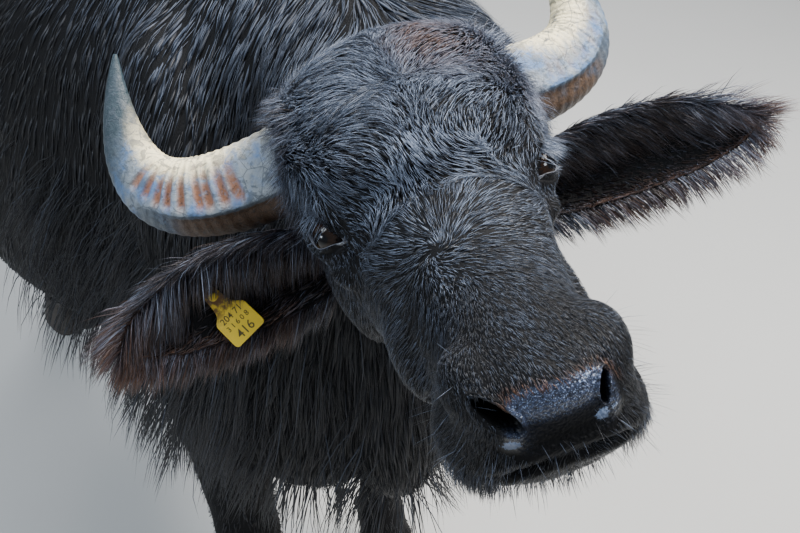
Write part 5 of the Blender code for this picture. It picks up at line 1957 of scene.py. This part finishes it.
def flapDensity(points, outs):
    at = through(inHead, points)
    flap = flapField(at, (0.068, -0.280, -0.092), (0.016, 0.030, 0.012))
    return flap * (gapTo(mouthLine(), at) > 0.004) + 1e-12


def chinDensity(points, outs):
    at = through(inHead, points)
    return smoothStep(0.105, 0.125, -at[:, 2]) * smoothStep(0.16, 0.22, -at[:, 1]) + 1e-12


hangFrom("coat_flaps", headGuide, 1800, flapDensity, (151, 152), 0.25,
         turned(head, (0, 0.1, -1.0)), flapLook, headUv)
hangFrom("coat_chin", headGuide, 900, chinDensity, (155, 156), 0.5,
         turned(head, (0, 0.3, -0.6)), flapLook, headUv)


coatTop = 1.12  # lengths and widths change with the drop below this height


def neckBlend(points):
    # 1 on the neck and chest, 0 on the barrel
    return smoothStep(0.22, 0.50, -points[:, 1])


def combBody(points, outs):
    x, y, z = points.T
    front = smoothStep(0.35, -0.15, y)
    way = stack(np.clip(x * 3, -0.32, 0.32), 0.70 - 0.95 * front, -0.75 - 0.35 * front)
    leg = stepColumn(0.50, 0.62, coatTop - z)
    way = blend(way, np.array((0, 0.05, -1.0)), leg)
    under = stepColumn(0.5, 0.9, -outs[:, 2])
    return blend(way, np.array((0, 1.0, -0.1)), under)


def bodyLength(points):
    z = points[:, 2]
    base = 0.054 + 0.018 * neckBlend(points) - 0.006 * smoothStep(0.4, 0.8, points[:, 1])
    return base + (0.014 - base) * smoothStep(0.48, 0.66, coatTop - z)


def bodyDensity(points, outs):
    z = points[:, 2]
    front = 0.34 + 1.4 * neckBlend(points) + 0.30 * smoothStep(0.45, 0.15, points[:, 1])
    return front * (0.7 + 0.3 * smoothStep(0.45, 0.7, z)) * (z > 0.085) + 1e-9


def bodyUv(points):
    return rolledOut(points[:, 1], points[:, 0], points[:, 2] - 0.9, (-0.75, 1.10))


def bodyWidth(points, neck, barrel, leg):
    wide = barrel + (neck - barrel) * neckBlend(points)
    return wide + (leg - wide) * smoothStep(0.48, 0.66, coatTop - points[:, 2])


# painted light: the tone is raised on top of the withers and the neck, where light falls
def onWithers(points, amount):
    return amount * smoothStep(1.10, 1.30, points[:, 2]) * smoothStep(0.35, 0.0, points[:, 1])


bodyUnder = {
    **plainLook,
    "finish": bodyFinish,
    "length": lambda points: bodyLength(points) * 0.85,
    "lift": lambda points: 0.0020 + 0.004 * neckBlend(points),
    "width": lambda points: bodyWidth(points, 0.0022, 0.0032, 0.0016),
    "tones": (0.08, 0.42),
    "paintedLight": lambda points: onWithers(points, 0.30),
    "stray": 0.08,
    "wander": 0.10,
    "waveSize": 0.12,
}

bodyGuard = {
    **plainLook,
    "finish": bodyFinish,
    "length": bodyLength,
    "lift": lambda points: 0.0035 + 0.0075 * neckBlend(points),
    "width": lambda points: bodyWidth(points, 0.00048, 0.00085, 0.0008),
    "tones": (0.18, 0.50),
    # painted light on the withers and painted shade lower down the body
    "paintedLight": lambda points: onWithers(points, 0.34) - 0.18 * smoothStep(0.0, 0.25, coatTop - points[:, 2]),
    "stray": 0.08,
    "wander": 0.10,
    "waveSize": 0.12,
    "clump": {"of": 14, "pull": 0.30, "reach": 0.04},
}

for coatName, count, look, seed in (
        ("coat_body_under", 10000, bodyUnder, 71),
        ("coat_body", 26500, bodyGuard, 73)):
    growTufts(coatName, bodyGuide, count, bodyDensity, combBody, look, bodyUv, seed)


chestLook = {
    **plainLook,
    "finish": bodyFinish,
    "steps": 4,
    "length": same(0.135),
    "width": same(0.0009),
    "tones": (0.0, 0.6),
    "droop": 0.4,
    "stray": 0.18,
    "clump": {"of": 16, "pull": 0.5, "reach": 0.04},
}


def chestDensity(points, outs):
    x, y, z = points.T
    front = smoothStep(0.18, 0.30, -y) * smoothStep(-0.2, 0.3, -outs[:, 2])
    shoulder = smoothStep(-0.12, -0.20, x) * smoothStep(0.15, -0.05, y) * (z < 1.0)
    return (front + 0.8 * shoulder) * smoothStep(0.58, 0.66, z) + 1e-9


hangFrom("coat_chest", bodyGuide, 3600, chestDensity, (75, 76), 0.6,
         np.array((0, 0.3, -0.5)), chestLook, bodyUv)

switchLook = {
    **plainLook,
    "steps": 4,
    "length": lambda points: 0.12 + 0.09 * smoothStep(0.42, 0.60, coatTop - points[:, 2]),
    "width": same(0.0011),
    "droop": 1.2,
    "stray": 0.10,
    "clump": {"of": 20, "pull": 0.5, "reach": 0.05},
}


def switchDensity(points, outs):
    onTail = (points[:, 1] > 1.12 + place.translation.y) * (np.abs(points[:, 0]) < 0.05)
    return onTail * smoothStep(0.42, 0.60, coatTop - points[:, 2]) + 1e-12


hangFrom("coat_switch", bodyGuide, 1000, switchDensity, (77, 78), 0.5,
         np.array((0, 0, -1.0)), switchLook, bodyUv)


def earSpot(name, points):
    # share along and across the ear of points near it, and how far they lie to its back
    root, along, rise, back = earFrame(name)
    at = through(inHead, points) - np.array(root)
    share = (at @ np.array(along)) / along.length_squared
    widths = np.array(smoothRows(ears["widths"], 3))
    half = np.interp(np.clip(share, 0, 1), widths[:, 0], widths[:, 1])
    across = (at @ np.array(rise) - ears["bow"] * np.sin(pi * np.clip(share, 0, 1))) / half
    return share, across, at @ np.array(back)


def growEar(name, seed):
    _, along, rise, back = earFrame(name)
    alongN, riseN, backN = (turned(head, np.array(v.normalized())) for v in (along, rise, back))
    outward, down = ears["drape"][name]
    drape = alongN * outward - riseN * down - backN * 0.38

    def uvOf(points):
        share, across, depth = earSpot(name, points)
        cup = ears["cup"] * (1 - share * 0.8)
        behind = np.where(depth > cup * (0.5 - across**2) + 0.003, 0.5, 0.0)
        return np.stack([0.02 + 0.96 * np.clip(share, 0, 1),
                         behind + 0.02 + 0.46 * np.clip(across * 0.5 + 0.5, 0, 1)], axis=1)

    def warmth(points):
        share, across, depth = earSpot(name, points)
        lower = 0.30 * smoothStep(0.5, 0.9, -across) * (share > 0.2)
        return 0.15 + 0.50 * smoothStep(0.70, 1.0, share) + lower

    def comb(points, outs):
        share, across, depth = earSpot(name, points)
        return alongN * 0.9 + np.clip(across, -1, 1)[:, None] * riseN * 0.6

    def cover(points, outs):
        share, across, depth = earSpot(name, points)
        front = smoothStep(0.0, 0.4, -(outs @ backN))
        hollow = front * (1 - smoothStep(0.45, 0.80, np.abs(across)))
        return (1 - 0.85 * hollow) * (share > 0.0) + 1e-9

    def fringe(points, outs):
        share, across, depth = earSpot(name, points)
        rim = smoothStep(0.80, 0.95, np.abs(across)) * (1 + 0.8 * (across < 0))
        return (rim + 1.8 * smoothStep(0.88, 1.0, share)) * (share > 0.05) + 1e-9

    def veil(points, outs):
        share, across, depth = earSpot(name, points)
        front = smoothStep(0.2, 0.6, -(outs @ backN))
        low = -1.2 if name == tagForm["ear"] else -0.40
        grown = front * smoothStep(low, 0.80, across) * (share > 0.0) * (share < 0.95)
        if name == tagForm["ear"]:
            where, above = ears["openBelow"]
            grown *= 1 - (np.abs(share - where) < 0.105) * (across < above)
        return grown + 1e-9

    def hang(points):
        # short on the upper rim near the head, long towards the tip and along the lower rim
        share, across, depth = earSpot(name, points)
        upper = smoothStep(0.70, 0.92, across) * (1 - smoothStep(0.45, 0.80, share))
        return 0.050 - 0.024 * upper * (name != tagForm["ear"])

    def fringePaintedLight(points):
        # painted light towards the tip and along the rims, painted shade elsewhere
        share, across, depth = earSpot(name, points)
        pale = 0.22 * smoothStep(0.60, 0.92, share) + 0.16 * smoothStep(0.75, 0.95, np.abs(across))
        return pale * ears["pale"][name] - 0.12

    coverLook = {
        **plainLook,
        "length": same(0.020),
        "lift": same(0.0030),
        "width": same(0.0007),
        "tones": (0.0, 0.8),
        "warm": warmth,
        "sortBy": 0,
    }
    fringeLook = {
        **plainLook,
        "steps": 4,
        "length": hang,
        "paintedLight": fringePaintedLight,
        "width": same(0.00050),
        "droop": 0.16,
        "stray": 0.16,
        "warm": warmth,
        "clump": {"of": 14, "pull": 0.5, "reach": 0.025},
        "sortBy": 0,
    }
    growTufts(f"coat_ear_{name}", earGuides[name], 3600, cover, comb, coverLook, uvOf, seed)
    for part, count, density, headings in (
            ("fringe", 2600, fringe, None), ("veil", ears["veil"][name], veil, drape)):
        roots, normals = scatter(earGuides[name], count, density, seed + 3)
        if headings is None:
            across = np.clip(earSpot(name, roots)[1], -1, 1)[:, None]
            over = (across > 0) * -backN * 0.35
            headings = alongN * 0.70 + riseN * across * np.where(across > 0, 0.30, 0.75) + over
        else:
            headings = np.repeat(headings[None], len(roots), axis=0)
        hangTufts(f"coat_ear_{part}_{name}", roots, normals, headings, fringeLook, uvOf, seed + 5)


for earName, earSeed in (("left", 81), ("right", 91)):
    growEar(earName, earSeed)

fineLook = {
    **plainLook,
    "steps": 4,
    "width": same(0.00028),
    "tones": (0.3, 0.9),
    "stray": 0.12,
    "droop": 0.06,
    "clump": {"of": 3, "pull": 0.3, "reach": 0.006},
}


def makeLashes(name, seed):
    centre, gaze, front, rise = eyeAxes(sides[name])
    draw = np.random.default_rng(seed)
    for part, low, high, count, length in (("upper", 20, 165, 70, 0.015), ("lower", 200, 340, 40, 0.008)):
        angles = np.radians(draw.uniform(low, high, count))
        edge = np.array([lidEdge(angle) for angle in angles]) * 1.04
        reach = np.hypot(edge[:, 0], edge[:, 1])
        depth = np.sqrt(np.maximum((eyeBall["radius"] + 0.0016) ** 2 - reach**2, 0.0))
        spots = np.array(centre) + depth[:, None] * gaze + edge[:, :1] * front + edge[:, 1:] * rise
        away = unit(edge[:, :1] * front + edge[:, 1:] * rise)
        look = {**fineLook, "length": same(length)}
        headings = turned(head, away * 0.75 + gaze * 0.75 - front * 0.15)
        normals = np.repeat(turned(head, gaze)[None], count, axis=0)
        hangTufts(f"lashes_{part}_{name}", through(head, spots), normals, headings, look, headUv, seed + 1)


def browDensity(name):
    def density(points, outs):
        u, v, ahead = seenFromEye(through(inHead, points), sides[name])
        return bell((u + 0.006, 0.018), (v - 0.024, 0.008)) * (ahead > -0.01) + 1e-12
    return density


def whiskerDensity(points, outs):
    at = through(inHead, points)
    x, y, z = at.T
    lips = bell((gapTo(mouthLine(), at) - 0.018, 0.012)) * (y < -0.20)
    chin = smoothStep(0.11, 0.13, -z) * (y < -0.20)
    flank = smoothStep(0.045, 0.06, np.abs(x)) * (y < -0.26) * smoothStep(1.05, 1.2, padField(at))
    return lips + 1.5 * chin + 0.8 * flank + 1e-9


browCounts = {"left": 170, "right": 24}
# pale brow hairs, whose high tones also paint the light falling on the far brow
browLook = {**fineLook, "length": same(0.030), "tones": (0.75, 1.1), "droop": 0.10, "width": same(0.00036)}
whiskerLook = {**fineLook, "length": same(0.026), "tones": (0.2, 1.0)}
for eyeName, seed in (("left", 101), ("right", 111)):
    makeLashes(eyeName, seed)
    way = turned(head, (sides[eyeName] * 0.55, -0.50, -0.22))
    hangFrom(f"brow_{eyeName}", headGuide, browCounts[eyeName], browDensity(eyeName),
             (seed + 5, seed + 7), 0.0, way, browLook, headUv)

hangFrom("whiskers", headGuide, 420, whiskerDensity, (121, 122), 1.0,
         turned(head, (0, -0.25, -0.3)), whiskerLook, headUv)
print("coat grown,", tufts["triangles"], "triangles")


studio = {
    "floorHalf": 9,
    "stone": (rgb(0.46, 0.46, 0.45), rgb(0.52, 0.52, 0.51)),
    "sky": rgb(0.76, 0.84, 0.96),
    "skyStrength": 0.34,
    # where, size, strength, colour
    "lamps": [
        ((1.5, -0.85, 3.7), 1.5, 330.0, (1.0, 0.965, 0.91)),
        ((-2.4, 0.2, 4.0), 1.6, 120.0, (0.82, 0.91, 1.0)),
        ((-1.70, -0.70, 1.55), 0.3, 6.0, (0.80, 0.90, 1.0)),
        ((1.0, 3.4, 3.2), 2.0, 120.0, (0.95, 0.97, 1.0)),
        ((1.1, -3.1, 3.1), 0.8, 40.0, (0.82, 0.90, 1.0)),
    ],
    "aim": (-0.05, -0.60, 1.05),
    "lens": 52.3,
    "azimuth": -30.0,
    "elevation": 36.0,
    "eyesInView": (0.035, -0.07, 1.2),  # right, up and forward of the camera
}


def makeFloor():
    stone = Finish("pale_floor")
    cloud = stone.noise(stone.place(), 1.3, 5.0)
    stone.into("Base Color", stone.mix(cloud, *studio["stone"]))
    stone.into("Roughness", 0.75 + cloud * 0.1)
    corners = np.array([(-1, -1, 0), (1, -1, 0), (1, 1, 0), (-1, 1, 0)], float) * studio["floorHalf"]
    floor = newObject("floor", meshFrom("floor", [(corners, [(0, 1, 2, 3)])]))
    floor.data.materials.append(stone.material)


def makeLights():
    world = bpy.data.worlds.new("studio")
    world.use_nodes = True
    back = world.node_tree.nodes["Background"]
    back.inputs["Color"].default_value = studio["sky"]
    back.inputs["Strength"].default_value = studio["skyStrength"]
    bpy.context.scene.world = world
    aim = Vector(studio["aim"])
    for number, (where, size, strength, colour) in enumerate(studio["lamps"]):
        lamp = bpy.data.lights.new(f"lamp_{number + 1}", "AREA")
        lamp.size = size
        lamp.energy = strength
        lamp.color = colour
        obj = newObject(f"lamp_{number + 1}", lamp)
        obj.location = where
        obj.rotation_euler = (aim - Vector(where)).to_track_quat("-Z", "Y").to_euler()


def makeCamera():
    turn, tip = radians(studio["azimuth"]), radians(studio["elevation"])
    heading = Vector((-sin(turn), cos(turn), 0))
    right = Vector((cos(turn), sin(turn), 0))
    ahead = heading * cos(tip) - Vector((0, 0, sin(tip)))
    up = heading * sin(tip) + Vector((0, 0, cos(tip)))
    across, high, far = studio["eyesInView"]
    eyesAt = place @ Vector(pose["eyesAt"])
    data = bpy.data.cameras.new("camera")
    data.lens = studio["lens"]
    data.sensor_width = 36.0
    camera = newObject("camera", data)
    spot = eyesAt - (right * across - up * high + ahead * far)
    camera.matrix_world = Matrix.Translation(spot) @ Matrix((right, up, -ahead)).transposed().to_4x4()
    bpy.context.scene.camera = camera


makeFloor()
makeLights()
makeCamera()
print("studio made")
